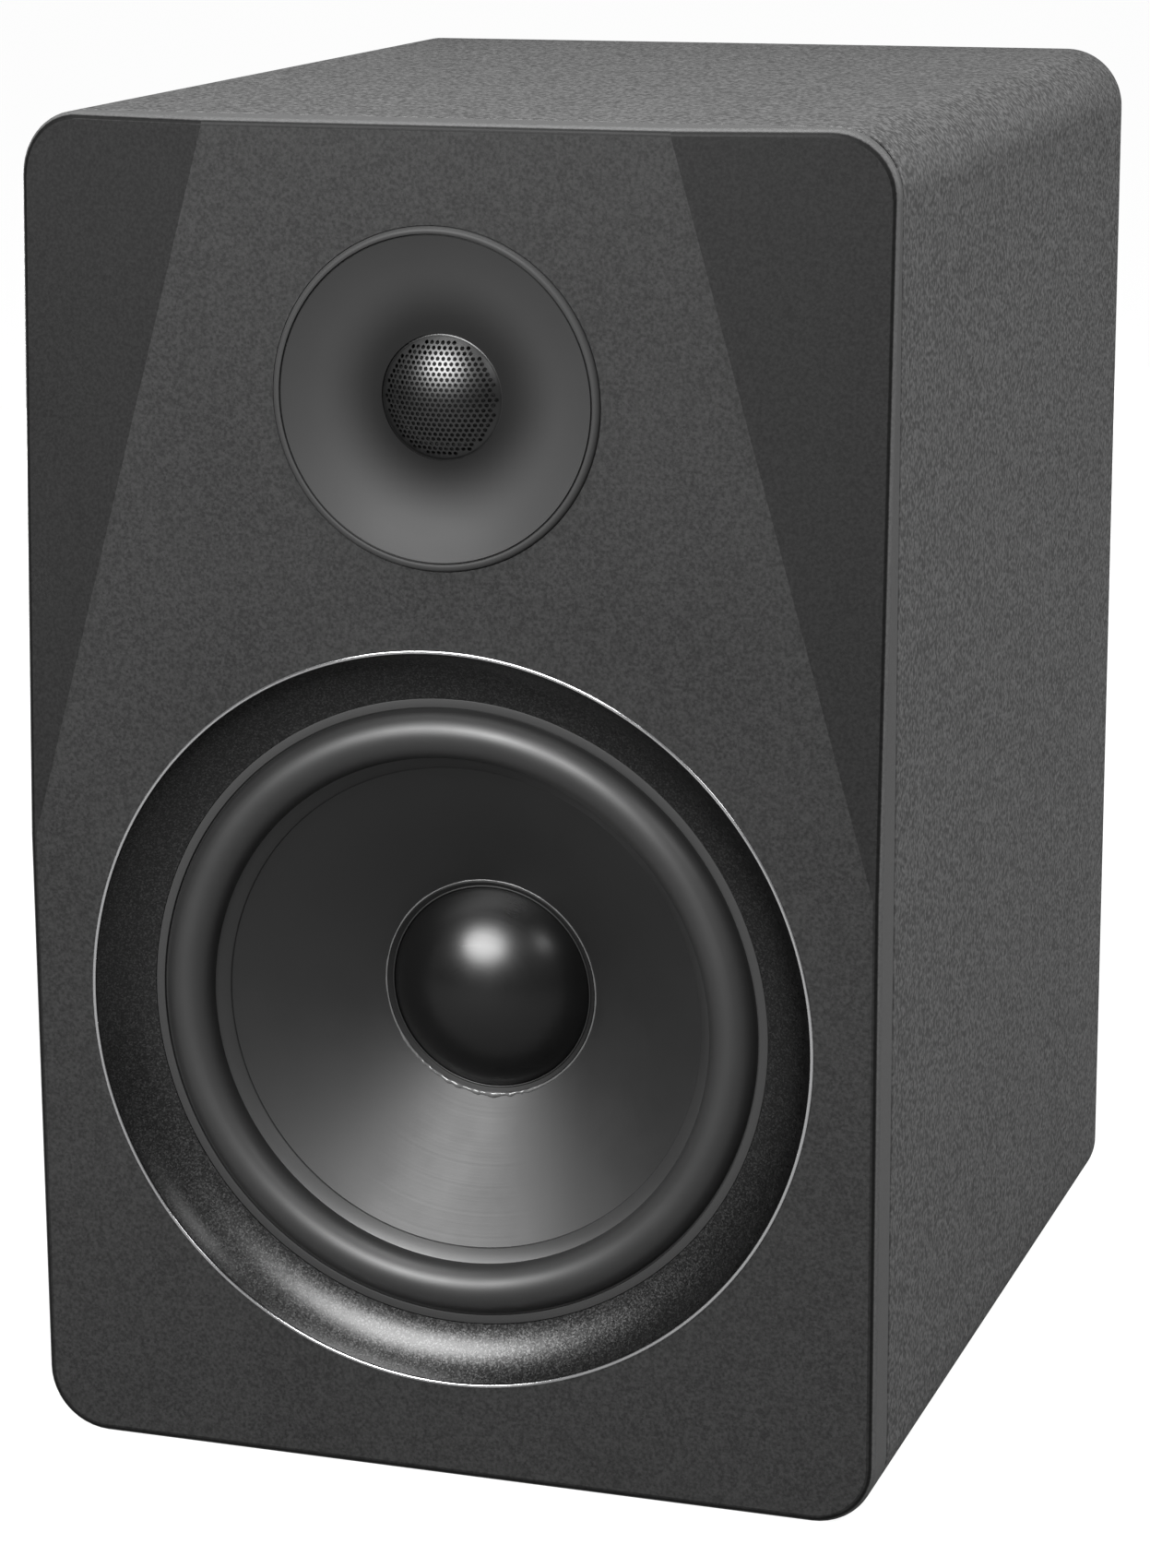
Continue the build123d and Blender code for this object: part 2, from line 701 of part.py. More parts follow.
woofer_screw_length = baffle_back_depth - flange_depth - 0.5
with BuildPart() as woofer_screws:
    with BuildSketch(facing_front(front_y + flange_depth, woofer_z)):
        with PolarLocations(screw_circle, woofer_screw_count, start_angle=22.5):
            Circle(woofer_screw_head_radius)
    extrude(amount=-woofer_screw_head_height, taper=45)
    with BuildSketch(facing_front(front_y + flange_depth, woofer_z)):
        with PolarLocations(screw_circle, woofer_screw_count, start_angle=22.5):
            Circle(woofer_screw_radius)
    extrude(amount=-woofer_screw_length)
    with BuildSketch(facing_front(front_y + flange_depth, woofer_z)):
        with PolarLocations(screw_circle, woofer_screw_count, start_angle=22.5):
            Rectangle(4.0, 0.9)
            Rectangle(0.9, 4.0)
    extrude(amount=-1.2, mode=Mode.SUBTRACT)
finish_piece(woofer_screws, "woofer_screws")

# ------------------------------------------------------------------ tweeter

rim_start = (recess_gap, waveguide_radius)
rim_top = (-rim_stand, waveguide_radius - rim_width * 0.7)
groove_radius = waveguide_radius - rim_width
horn_start = (-rim_stand * 0.75, groove_radius - 0.5)
horn_end = (throat_depth, throat_radius)
horn_middle = (
    (horn_start[0] + horn_end[0]) / 2 + horn_sag,
    (horn_start[1] + horn_end[1]) / 2,
)
mesh_flange_depth = throat_depth + mesh_thickness
mesh_flange_radius = mesh_radius + mesh_flange_width
with BuildPart() as tweeter_waveguide:
    with BuildSketch(tweeter_section):
        with BuildLine():
            ThreePointArc(horn_end, horn_middle, horn_start)
            Polyline(
                horn_start,
                (groove_depth - rim_stand, groove_radius - 0.3),
                (groove_depth - rim_stand, groove_radius),
                (-rim_stand * 0.9, groove_radius + 0.1),
            )
            ThreePointArc((-rim_stand * 0.9, groove_radius + 0.1), rim_top, rim_start)
            Polyline(
                rim_start,
                (waveguide_thickness, waveguide_radius),
                (waveguide_thickness, mesh_flange_radius + recess_gap),
                (mesh_flange_depth, mesh_flange_radius + recess_gap),
                (mesh_flange_depth, throat_radius),
                horn_end,
            )
        make_face()
    revolve(axis=tweeter_axis)
    # Blind pilots take the screws that hold it from behind the baffle.
    with BuildSketch(facing_front(front_y + waveguide_thickness, tweeter_z)):
        with PolarLocations(tweeter_screw_circle, tweeter_screw_count, start_angle=45):
            Circle(woofer_screw_radius + screw_hole_gap)
    extrude(amount=waveguide_thickness - 3.0, mode=Mode.SUBTRACT)
finish_piece(tweeter_waveguide, "tweeter_waveguide")


with BuildPart() as tweeter_grille:
    with BuildSketch(tweeter_section):
        with BuildLine():
            outer = cap_arc(mesh_radius, mesh_rise, mesh_flange_depth)
            inner = cap_arc(mesh_radius - mesh_thickness, mesh_rise, mesh_flange_depth + mesh_thickness)
            ThreePointArc(*outer)
            Line(outer[2], inner[2])
            ThreePointArc(*reversed(inner))
            Polyline(
                inner[0],
                (mesh_flange_depth + mesh_thickness, mesh_flange_radius),
                (mesh_flange_depth, mesh_flange_radius),
                outer[0],
            )
        make_face()
    revolve(axis=tweeter_axis)
finish_piece(tweeter_grille, "tweeter_grille")

dome_edge_radius = dome_radius + dome_roll_width
with BuildPart() as tweeter_dome:
    with BuildSketch(tweeter_section):
        with BuildLine():
            outer = cap_arc(dome_radius, dome_rise, dome_depth)
            inner = cap_arc(dome_radius - dome_thickness, dome_rise, dome_depth + dome_thickness)
            roll_top = dome_depth - dome_roll_width * 0.35
            ThreePointArc(*outer)
            Line(outer[2], inner[2])
            ThreePointArc(*reversed(inner))
            Line(inner[0], (dome_depth + dome_thickness, dome_radius + dome_thickness))
            ThreePointArc(
                (dome_depth + dome_thickness, dome_radius + dome_thickness),
                (roll_top + dome_thickness, dome_radius + dome_roll_width / 2),
                (dome_depth + dome_thickness, dome_edge_radius),
            )
            Line((dome_depth + dome_thickness, dome_edge_radius), (dome_depth, dome_edge_radius))
            ThreePointArc(
                (dome_depth, dome_edge_radius),
                (roll_top, dome_radius + dome_roll_width / 2),
                (dome_depth, dome_radius),
            )
        make_face()
    revolve(axis=tweeter_axis)
finish_piece(tweeter_dome, "tweeter_dome")

suspension_end = waveguide_thickness + suspension_thickness
suspension_hole_radius = dome_edge_radius + 0.3
with BuildPart() as tweeter_suspension_ring:
    with BuildSketch(facing_front(front_y + waveguide_thickness, tweeter_z)):
        Circle(suspension_radius)
        Circle(suspension_hole_radius, mode=Mode.SUBTRACT)
    extrude(amount=-suspension_thickness)
finish_piece(tweeter_suspension_ring, "tweeter_suspension_ring")

tweeter_coil_start = dome_depth + dome_thickness
with BuildPart() as tweeter_voice_coil:
    with BuildSketch(facing_front(front_y + tweeter_coil_start, tweeter_z)):
        Circle(dome_radius + dome_thickness)
        Circle(dome_radius - dome_thickness, mode=Mode.SUBTRACT)
    extrude(amount=-tweeter_coil_length)
finish_piece(tweeter_voice_coil, "tweeter_voice_coil")

tweeter_plate_end = suspension_end + tweeter_plate_thickness
tweeter_magnet_end = tweeter_plate_end + tweeter_magnet_thickness
tweeter_back_depth = tweeter_magnet_end + tweeter_back_thickness
with BuildPart() as tweeter_top_plate:
    with BuildSketch(facing_front(front_y + suspension_end, tweeter_z)):
        Circle(tweeter_plate_radius)
        Circle(dome_radius + dome_thickness + tweeter_gap, mode=Mode.SUBTRACT)
    extrude(amount=-tweeter_plate_thickness)
finish_piece(tweeter_top_plate, "tweeter_top_plate")

with BuildPart() as tweeter_magnet:
    with BuildSketch(facing_front(front_y + tweeter_plate_end, tweeter_z)):
        Circle(tweeter_magnet_radius)
        Circle(tweeter_magnet_hole_radius, mode=Mode.SUBTRACT)
    extrude(amount=-tweeter_magnet_thickness)
finish_piece(tweeter_magnet, "tweeter_magnet")

tweeter_pole_start = dome_depth + 1.4
with BuildPart() as tweeter_yoke:
    with BuildSketch(facing_front(front_y + tweeter_magnet_end, tweeter_z)):
        Circle(tweeter_plate_radius)
    extrude(amount=-tweeter_back_thickness)
    chamfer(tweeter_yoke.edges().group_by(Axis.Y)[-1], 1.2)
    with BuildSketch(facing_front(front_y + tweeter_pole_start, tweeter_z)):
        Circle(dome_radius - dome_thickness - tweeter_gap)
    extrude(amount=-(tweeter_magnet_end - tweeter_pole_start))
finish_piece(tweeter_yoke, "tweeter_yoke")

tweeter_terminal_z = tweeter_z - tweeter_plate_radius * 0.6
tweeter_terminal_y = front_y + tweeter_back_depth + terminal_thickness / 2
with BuildPart() as tweeter_terminals:
    with Locations((0, tweeter_terminal_y, tweeter_terminal_z)):
        Box(terminal_width, terminal_thickness, 10)
    with Locations(
        *[
            (x, tweeter_terminal_y + (tab_length + terminal_thickness) / 2, tweeter_terminal_z)
            for x in (-terminal_width / 4, terminal_width / 4)
        ]
    ):
        Box(tab_thickness, tab_length, tab_width)
finish_piece(tweeter_terminals, "tweeter_terminals")

with BuildPart() as tweeter_screws:
    with BuildSketch(facing_rear(front_y + baffle_back_depth, tweeter_z)):
        with PolarLocations(tweeter_screw_circle, tweeter_screw_count, start_angle=45):
            Circle(woofer_screw_head_radius)
    extrude(amount=pan_head_height)
    with BuildSketch(facing_rear(front_y + baffle_back_depth, tweeter_z)):
        with PolarLocations(tweeter_screw_circle, tweeter_screw_count, start_angle=45):
            Circle(woofer_screw_radius)
    extrude(amount=-(baffle_back_depth - 4.0))
finish_piece(tweeter_screws, "tweeter_screws")

# ------------------------------------------------------------------ amplifier plate and its fixings

control_plate_z = plate_bottom + control_z
socket_plate_z = plate_bottom + socket_z
inlet_plate_z = plate_bottom + inlet_z
switch_plate_z = plate_bottom + switch_z
heatsink_z = plate_bottom + amp_height - heatsink_top_drop - heatsink_height / 2
controls = [
    ("level", level_x, level_knob_radius),
    ("treble", treble_x, trim_knob_radius),
    ("bass", bass_x, trim_knob_radius),
]
xlr_radius = 11.8
jack_bush_radius = 5.9
plate_hole_gap = 0.2
inlet_body = (27.0, 30.0)
inlet_flange = (49.0, 34.0)
inlet_screw_spacing = 40.0
inlet_flange_thickness = 3.0
inlet_body_depth = 26.0
switch_body = (13.0, 20.4)
switch_flange = (15.0, 23.0)
switch_flange_thickness = 1.5
xlr_flange = (26.0, 31.0)
xlr_screw = (9.5, 12.0)
small_screw_radius = 1.5
board_back_y = plate_inner_y - board_gap
board_z = plate_bottom + amp_height - amp_border - 3 - board_height / 2
standoff_x = board_width / 2 - 6
standoff_z = board_height / 2 - 6
standoff_radius = 3.0

with BuildPart() as amp_plate:
    with BuildSketch(facing_rear(plate_inner_y, amp_z)):
        RectangleRounded(amp_width, amp_height, amp_corner_radius)
        with Locations(*amp_screw_places):
            Circle(amp_screw_radius + screw_hole_gap, mode=Mode.SUBTRACT)
    extrude(amount=amp_plate_thickness)
    fillet(amp_plate.faces().sort_by(Axis.Y)[-1].outer_wire().edges(), 0.5)
    with BuildSketch(facing_rear(plate_inner_y)):
        with Locations(*[(-x, control_plate_z) for _, x, _ in controls]):
            Circle(bushing_radius + plate_hole_gap)
        with Locations((-xlr_x, socket_plate_z)):
            Circle(xlr_radius + plate_hole_gap)
        with Locations((-jack_x, socket_plate_z)):
            Circle(jack_bush_radius + plate_hole_gap)
        with Locations((-inlet_x, inlet_plate_z)):
            Rectangle(inlet_body[0] + 2 * plate_hole_gap, inlet_body[1] + 2 * plate_hole_gap)
        with Locations((-switch_x, switch_plate_z)):
            Rectangle(switch_body[0] + 2 * plate_hole_gap, switch_body[1] + 2 * plate_hole_gap)
        with Locations(
            (-xlr_x - xlr_screw[0], socket_plate_z + xlr_screw[1]),
            (-xlr_x + xlr_screw[0], socket_plate_z - xlr_screw[1]),
            (-inlet_x - inlet_screw_spacing / 2, inlet_plate_z),
            (-inlet_x + inlet_screw_spacing / 2, inlet_plate_z),
        ):
            Circle(small_screw_radius + screw_hole_gap)
    extrude(amount=amp_plate_thickness, mode=Mode.SUBTRACT)
finish_piece(amp_plate, "amp_plate")

with BuildPart() as amp_gasket:
    with BuildSketch(facing_rear(rear_y, amp_z)):
        RectangleRounded(amp_width, amp_height, amp_corner_radius)
        Rectangle(amp_hole_width, amp_hole_height, mode=Mode.SUBTRACT)
        with Locations(*amp_screw_places):
            Circle(amp_screw_radius + screw_hole_gap, mode=Mode.SUBTRACT)
    extrude(amount=amp_gasket_thickness)
finish_piece(amp_gasket, "amp_gasket")

with BuildPart() as amp_screws:
    with BuildSketch(facing_rear(plate_outer_y, amp_z)):
        with Locations(*amp_screw_places):
            Circle(amp_screw_head_radius)
    extrude(amount=amp_screw_head_height, taper=12)
    with BuildSketch(facing_rear(plate_outer_y, amp_z)):
        with Locations(*amp_screw_places):
            Circle(amp_screw_radius)
    extrude(amount=-amp_screw_length)
    with BuildSketch(facing_rear(plate_outer_y + amp_screw_head_height, amp_z)):
        with Locations(*amp_screw_places):
            Rectangle(3.6, 0.9)
            Rectangle(0.9, 3.6)
    extrude(amount=-1.4, mode=Mode.SUBTRACT)
finish_piece(amp_screws, "amp_screws")

fin_pitch = (heatsink_width - fin_thickness) / (fin_count - 1)
with BuildPart() as heatsink:
    with BuildSketch(facing_rear(plate_outer_y, heatsink_z)):
        Rectangle(heatsink_width, heatsink_height)
    extrude(amount=heatsink_base)
    with BuildSketch(facing_rear(plate_outer_y + heatsink_base, heatsink_z)):
        with GridLocations(fin_pitch, 0, fin_count, 1):
            Rectangle(fin_thickness, heatsink_height)
    extrude(amount=fin_height)
    chamfer(heatsink.edges().filter_by(Axis.Z).group_by(Axis.Y)[-1], 0.4)
finish_piece(heatsink, "heatsink")

# ------------------------------------------------------------------ electronics inside

with BuildPart() as circuit_board:
    with BuildSketch(facing_rear(board_back_y - board_thickness, board_z)):
        Rectangle(board_width, board_height)
        with GridLocations(2 * standoff_x, 2 * standoff_z, 2, 2):
            Circle(small_screw_radius, mode=Mode.SUBTRACT)
    extrude(amount=board_thickness)
finish_piece(circuit_board, "circuit_board")

with BuildPart() as board_standoffs:
    with BuildSketch(facing_rear(board_back_y, board_z)):
        with GridLocations(2 * standoff_x, 2 * standoff_z, 2, 2):
            RegularPolygon(standoff_radius, 6)
    extrude(amount=board_gap)
finish_piece(board_standoffs, "board_standoffs")

capacitor_x = 34.0
with BuildPart() as filter_capacitors:
    with BuildSketch(facing_front(board_back_y - board_thickness, board_z + board_height / 4)):
        with Locations((-capacitor_x, 0), (0, 0), (capacitor_x, 0)):
            Circle(capacitor_radius)
    extrude(amount=capacitor_length)
    fillet(filter_capacitors.edges().group_by(Axis.Y)[0], 1.2)
finish_piece(filter_capacitors, "filter_capacitors")

chip_size = (20.0, 4.6, 18.0)
with BuildPart() as amplifier_chips:
    with Locations(
        *[(x, plate_inner_y - chip_size[1] / 2, heatsink_z) for x in (-capacitor_x, capacitor_x)]
    ):
        Box(*chip_size)
finish_piece(amplifier_chips, "amplifier_chips")

toroid_bottom = wall + pad_thickness
with BuildPart() as mains_transformer:
    with BuildSketch(Plane.XY.offset(toroid_bottom)):
        with Locations((0, toroid_y)):
            Circle(toroid_radius)
            Circle(toroid_hole_radius, mode=Mode.SUBTRACT)
    extrude(amount=toroid_height)
    fillet(mains_transformer.edges(), 6.0)
finish_piece(mains_transformer, "mains_transformer")

bolt_hole_radius = bolt_radius + plate_hole_gap
with BuildPart() as transformer_pad:
    with BuildSketch(Plane.XY.offset(wall)):
        with Locations((0, toroid_y)):
            Circle(toroid_radius - 2)
            Circle(bolt_hole_radius, mode=Mode.SUBTRACT)
    extrude(amount=pad_thickness)
finish_piece(transformer_pad, "transformer_pad")

washer_thickness = 1.6
washer_rim_radius = toroid_radius - 8
toroid_top = toroid_bottom + toroid_height
washer_dish = 4.0
transformer_axis = Axis((0, toroid_y, 0), (0, 0, 1))
with BuildPart() as transformer_washer:
    with BuildSketch(Plane(origin=(0, toroid_y, toroid_top), x_dir=(1, 0, 0), z_dir=(0, -1, 0))):
        with BuildLine():
            Polyline(
                (bolt_hole_radius, -washer_dish),
                (toroid_hole_radius - 3, -washer_dish),
                (toroid_hole_radius - 0.5, 0),
                (washer_rim_radius, 0),
                (washer_rim_radius, washer_thickness),
                (toroid_hole_radius - 1.5, washer_thickness),
                (toroid_hole_radius - 4, washer_thickness - washer_dish),
                (bolt_hole_radius, washer_thickness - washer_dish),
                close=True,
            )
        make_face()
    revolve(axis=transformer_axis)
finish_piece(transformer_washer, "transformer_washer")

bolt_seat = toroid_top + washer_thickness - washer_dish
with BuildPart() as transformer_bolt:
    with BuildSketch(Plane.XY.offset(bolt_seat)):
        with Locations((0, toroid_y)):
            RegularPolygon(5.8, 6)
    extrude(amount=4)
    with BuildSketch(Plane.XY.offset(wall - bolt_bite)):
        with Locations((0, toroid_y)):
            Circle(bolt_radius)
    extrude(amount=bolt_seat - wall + bolt_bite)
finish_piece(transformer_bolt, "transformer_bolt")

# ------------------------------------------------------------------ controls

bushing_length = 5.0
nut_thickness = 1.8
with BuildPart() as control_pots:
    with BuildSketch(facing_rear(plate_inner_y - pot_depth)):
        with Locations(*[(-x, control_plate_z) for _, x, _ in controls]):
            Rectangle(pot_width, pot_width)
    extrude(amount=pot_depth)
    with BuildSketch(facing_rear(plate_inner_y)):
        with Locations(*[(-x, control_plate_z) for _, x, _ in controls]):
            Circle(bushing_radius)
    extrude(amount=bushing_length - 1)
    with BuildSketch(facing_rear(plate_inner_y - pot_depth + 1)):
        with Locations(*[(-x, control_plate_z) for _, x, _ in controls]):
            Circle(spindle_radius + spindle_gap)
    extrude(amount=pot_depth + bushing_length, mode=Mode.SUBTRACT)
    # Legs reach the circuit board.
    with BuildSketch(facing_rear(board_back_y)):
        with Locations(
            *[(-x + dx, control_plate_z - 5) for _, x, _ in controls for dx in (-5, 0, 5)]
        ):
            Rectangle(1.0, 0.8)
    extrude(amount=board_gap - pot_depth)
finish_piece(control_pots, "control_pots")

knob_base_y = plate_outer_y + knob_lift
knob_wall = 2.0
for name, x, radius in controls:
    spindle_plane = facing_rear(plate_inner_y - pot_depth + 1.3, control_plate_z, x)
    with BuildPart() as spindle:
        with BuildSketch(spindle_plane):
            Circle(spindle_radius)
        extrude(amount=knob_base_y + knob_height - knob_wall - (plate_inner_y - pot_depth + 1.3))
    finish_piece(spindle, f"{name}_spindle")

    with BuildPart() as knob:
        with BuildSketch(facing_rear(knob_base_y, control_plate_z, x)):
            Circle(radius)
            with PolarLocations(radius + 0.35, 18):
                Circle(0.8, mode=Mode.SUBTRACT)
        extrude(amount=knob_height)
        with BuildSketch(facing_rear(knob_base_y, control_plate_z, x)):
            Circle(radius + 0.6)
        extrude(amount=1.4)
        with BuildSketch(facing_rear(knob_base_y + knob_height, control_plate_z, x)):
            with Locations((0, radius * 0.6)):
                Rectangle(0.9, radius * 0.8)
        extrude(amount=-0.5, mode=Mode.SUBTRACT)
        with BuildSketch(facing_rear(knob_base_y, control_plate_z, x)):
            Circle(spindle_radius)
        extrude(amount=knob_height - knob_wall, mode=Mode.SUBTRACT)
    finish_piece(knob, f"{name}_knob")

# ------------------------------------------------------------------ sockets

xlr_depth = 20.0
xlr_flange_thickness = 2.0
xlr_groove_outer = 9.6
xlr_groove_inner = 8.1
xlr_groove_depth = 15.0
xlr_pin_circle = 4.0
xlr_pin_radius = 1.3
xlr_face_y = plate_outer_y + xlr_flange_thickness
latch_width = 7.0
latch_height = 3.0
latch_stand = 1.5
latch_gap = 0.3
latch_depth = 7.0
latch_z = 12.6
with BuildPart() as xlr_socket:
    with BuildSketch(facing_rear(plate_outer_y, socket_plate_z, xlr_x)):
        RectangleRounded(*xlr_flange, 3)
        with Locations((-xlr_screw[0], xlr_screw[1]), (xlr_screw[0], -xlr_screw[1])):
            Circle(small_screw_radius + screw_hole_gap, mode=Mode.SUBTRACT)
    extrude(amount=xlr_flange_thickness)
    with BuildSketch(facing_rear(plate_outer_y - xlr_depth, socket_plate_z, xlr_x)):
        Circle(xlr_radius)
    extrude(amount=xlr_depth)
    with BuildSketch(facing_rear(xlr_face_y, socket_plate_z, xlr_x)):
        Circle(xlr_groove_outer)
        Circle(xlr_groove_inner, mode=Mode.SUBTRACT)
    extrude(amount=-xlr_groove_depth, mode=Mode.SUBTRACT)
    with BuildSketch(facing_rear(xlr_face_y, socket_plate_z, xlr_x)):
        with PolarLocations(xlr_pin_circle, 3, start_angle=270, angular_range=360):
            Circle(xlr_pin_radius)
    extrude(amount=-12, mode=Mode.SUBTRACT)
    with BuildSketch(facing_rear(xlr_face_y, socket_plate_z, xlr_x)):
        with Locations((0, latch_z)):
            Rectangle(latch_width + 2 * latch_gap, latch_height + 2 * latch_gap)
    extrude(amount=-xlr_flange_thickness, mode=Mode.SUBTRACT)
finish_piece(xlr_socket, "xlr_socket")

# The release tab slides in its slot in the flange, clear of the plate behind it.
with BuildPart() as xlr_latch:
    with BuildSketch(facing_rear(plate_outer_y + latch_stand + 0.1, socket_plate_z, xlr_x)):
        with Locations((0, latch_z)):
            Rectangle(latch_width, latch_height)
    extrude(amount=xlr_flange_thickness)
    fillet(xlr_latch.edges().filter_by(Axis.Y), 0.6)
finish_piece(xlr_latch, "xlr_latch")

jack_mouth = 4.6
jack_body = 15.0
jack_nut_width = 7.6
with BuildPart() as jack_socket:
    with BuildSketch(facing_rear(plate_inner_y - jack_length, socket_plate_z, jack_x)):
        Rectangle(jack_body, jack_body)
    extrude(amount=jack_length)
    with BuildSketch(facing_rear(plate_inner_y, socket_plate_z, jack_x)):
        Circle(jack_bush_radius)
    extrude(amount=amp_plate_thickness + jack_mouth)
    with BuildSketch(facing_rear(plate_outer_y, socket_plate_z, jack_x)):
        RegularPolygon(jack_nut_width, 6)
    extrude(amount=2.4)
    with BuildSketch(facing_rear(plate_outer_y + jack_mouth, socket_plate_z, jack_x)):
        Circle(jack_bore_radius)
    extrude(amount=-(jack_length + jack_mouth), mode=Mode.SUBTRACT)
finish_piece(jack_socket, "jack_socket")

# ------------------------------------------------------------------ mains inlet, fuse and switch

inlet_face_y = plate_outer_y + inlet_flange_thickness
plug_cavity = (24.6, 16.4)
plug_cavity_z = 5.2
plug_cavity_depth = 18.0
blade = (2.0, 4.0)
blade_length = 15.0
drawer = (22.0, 7.0)
drawer_z = -9.4
drawer_gap = 0.2
drawer_depth = 22.0
drawer_stand = 1.0
fuse_radius = 2.5
fuse_length = 20.0
with BuildPart() as mains_inlet:
    with BuildSketch(facing_rear(plate_outer_y, inlet_plate_z, inlet_x)):
        RectangleRounded(*inlet_flange, 4)
        with Locations((-inlet_screw_spacing / 2, 0), (inlet_screw_spacing / 2, 0)):
            Circle(small_screw_radius + screw_hole_gap, mode=Mode.SUBTRACT)
    extrude(amount=inlet_flange_thickness)
    with BuildSketch(facing_rear(plate_outer_y - inlet_body_depth, inlet_plate_z, inlet_x)):
        Rectangle(*inlet_body)
    extrude(amount=inlet_body_depth)
    with BuildSketch(facing_rear(inlet_face_y, inlet_plate_z + plug_cavity_z, inlet_x)):
        RectangleRounded(*plug_cavity, 1.5)
    extrude(amount=-plug_cavity_depth, mode=Mode.SUBTRACT)
    with BuildSketch(facing_rear(inlet_face_y, inlet_plate_z + drawer_z, inlet_x)):
        Rectangle(drawer[0] + 2 * drawer_gap, drawer[1] + 2 * drawer_gap)
    extrude(amount=-(drawer_depth + drawer_gap), mode=Mode.SUBTRACT)
    with BuildSketch(facing_rear(inlet_face_y - plug_cavity_depth, inlet_plate_z + plug_cavity_z, inlet_x)):
        with Locations((-7, -1), (0, 3), (7, -1)):
            Rectangle(*blade)
    extrude(amount=blade_length)
finish_piece(mains_inlet, "mains_inlet")

with BuildPart() as fuse_drawer:
    with BuildSketch(facing_rear(inlet_face_y, inlet_plate_z + drawer_z, inlet_x)):
        Rectangle(*drawer)
    extrude(amount=-drawer_depth)
    with BuildSketch(facing_rear(inlet_face_y, inlet_plate_z + drawer_z, inlet_x)):
        Rectangle(drawer[0] - 4, 2.4)
    extrude(amount=drawer_stand)
    # An open-topped pocket at its inner end holds the fuse.
    with Locations((inlet_x, inlet_face_y - drawer_depth + 6, inlet_plate_z + drawer_z + 1)):
        Box(fuse_length + 0.6, 2 * fuse_radius + 0.6, drawer[1], mode=Mode.SUBTRACT)
finish_piece(fuse_drawer, "fuse_drawer")

with BuildPart() as mains_fuse:
    fuse_z = inlet_plate_z + drawer_z + 1 - drawer[1] / 2 + fuse_radius
    with BuildSketch(Plane(origin=(inlet_x, inlet_face_y - drawer_depth + 6, fuse_z), z_dir=(1, 0, 0))):
        Circle(fuse_radius)
    extrude(amount=fuse_length / 2, both=True)
finish_piece(mains_fuse, "mains_fuse")

switch_depth = 16.0
rocker = (10.4, 16.0)
rocker_gap = 0.3
rocker_sweep = 1.0
pivot_y = plate_outer_y - 2.0
pivot_pin_radius = 1.2
pivot_pin_length = 1.0
with BuildPart() as power_switch_body:
    with BuildSketch(facing_rear(plate_outer_y, switch_plate_z, switch_x)):
        RectangleRounded(*switch_flange, 1.5)
    extrude(amount=switch_flange_thickness)
    with BuildSketch(facing_rear(plate_outer_y - switch_depth, switch_plate_z, switch_x)):
        Rectangle(*switch_body)
    extrude(amount=switch_depth)
    with BuildSketch(facing_rear(plate_outer_y + switch_flange_thickness, switch_plate_z, switch_x)):
        Rectangle(rocker[0] + 2 * rocker_gap, rocker[1] + 2 * (rocker_gap + rocker_sweep))
    extrude(amount=-(switch_flange_thickness + 11), mode=Mode.SUBTRACT)
    with BuildSketch(Plane(origin=(switch_x, pivot_y, switch_plate_z), z_dir=(1, 0, 0))):
        Circle(pivot_pin_radius + spindle_gap)
    extrude(amount=rocker[0] / 2 + pivot_pin_length + spindle_gap, both=True, mode=Mode.SUBTRACT)
finish_piece(power_switch_body, "power_switch_body")

tilt = radians(-rocker_tilt)
rocker_plane = Plane(
    origin=(switch_x, pivot_y, switch_plate_z), x_dir=(0, cos(tilt), sin(tilt)), z_dir=(1, 0, 0)
)
rocker_high = plate_outer_y - pivot_y + 4.2
rocker_low = rocker_high - 1.4
with BuildPart() as power_rocker:
    with BuildSketch(rocker_plane):
        with BuildLine():
            ThreePointArc((rocker_high, -rocker[1] / 2), (rocker_low, 0), (rocker_high, rocker[1] / 2))
            Polyline(
                (rocker_high, rocker[1] / 2),
                (1.0, rocker[1] / 2),
                (-3.0, 4.0),
                (-3.0, -4.0),
                (1.0, -rocker[1] / 2),
                (rocker_high, -rocker[1] / 2),
            )
        make_face()
    extrude(amount=rocker[0] / 2, both=True)
    with BuildSketch(rocker_plane):
        Circle(pivot_pin_radius)
    extrude(amount=rocker[0] / 2 + pivot_pin_length, both=True)
finish_piece(power_rocker, "power_rocker")

small_head_radius = 2.8
small_head_height = 1.6
small_screw_length = 7.0
with BuildPart() as socket_screws:
    screw_sets = [
        (xlr_face_y, -xlr_x - xlr_screw[0], socket_plate_z + xlr_screw[1]),
        (xlr_face_y, -xlr_x + xlr_screw[0], socket_plate_z - xlr_screw[1]),
        (inlet_face_y, -inlet_x - inlet_screw_spacing / 2, inlet_plate_z),
        (inlet_face_y, -inlet_x + inlet_screw_spacing / 2, inlet_plate_z),
    ]
    for seat_y, u, z in screw_sets:
        with BuildSketch(facing_rear(seat_y, z, -u)):
            Circle(small_head_radius)
        extrude(amount=small_head_height, taper=10)
        with BuildSketch(facing_rear(seat_y, z, -u)):
            Circle(small_screw_radius)
        extrude(amount=-small_screw_length)
        with BuildSketch(facing_rear(seat_y + small_head_height, z, -u)):
            Rectangle(2.8, 0.7)
            Rectangle(0.7, 2.8)
        extrude(amount=-1.0, mode=Mode.SUBTRACT)
finish_piece(socket_screws, "socket_screws")

# ------------------------------------------------------------------ internal leads

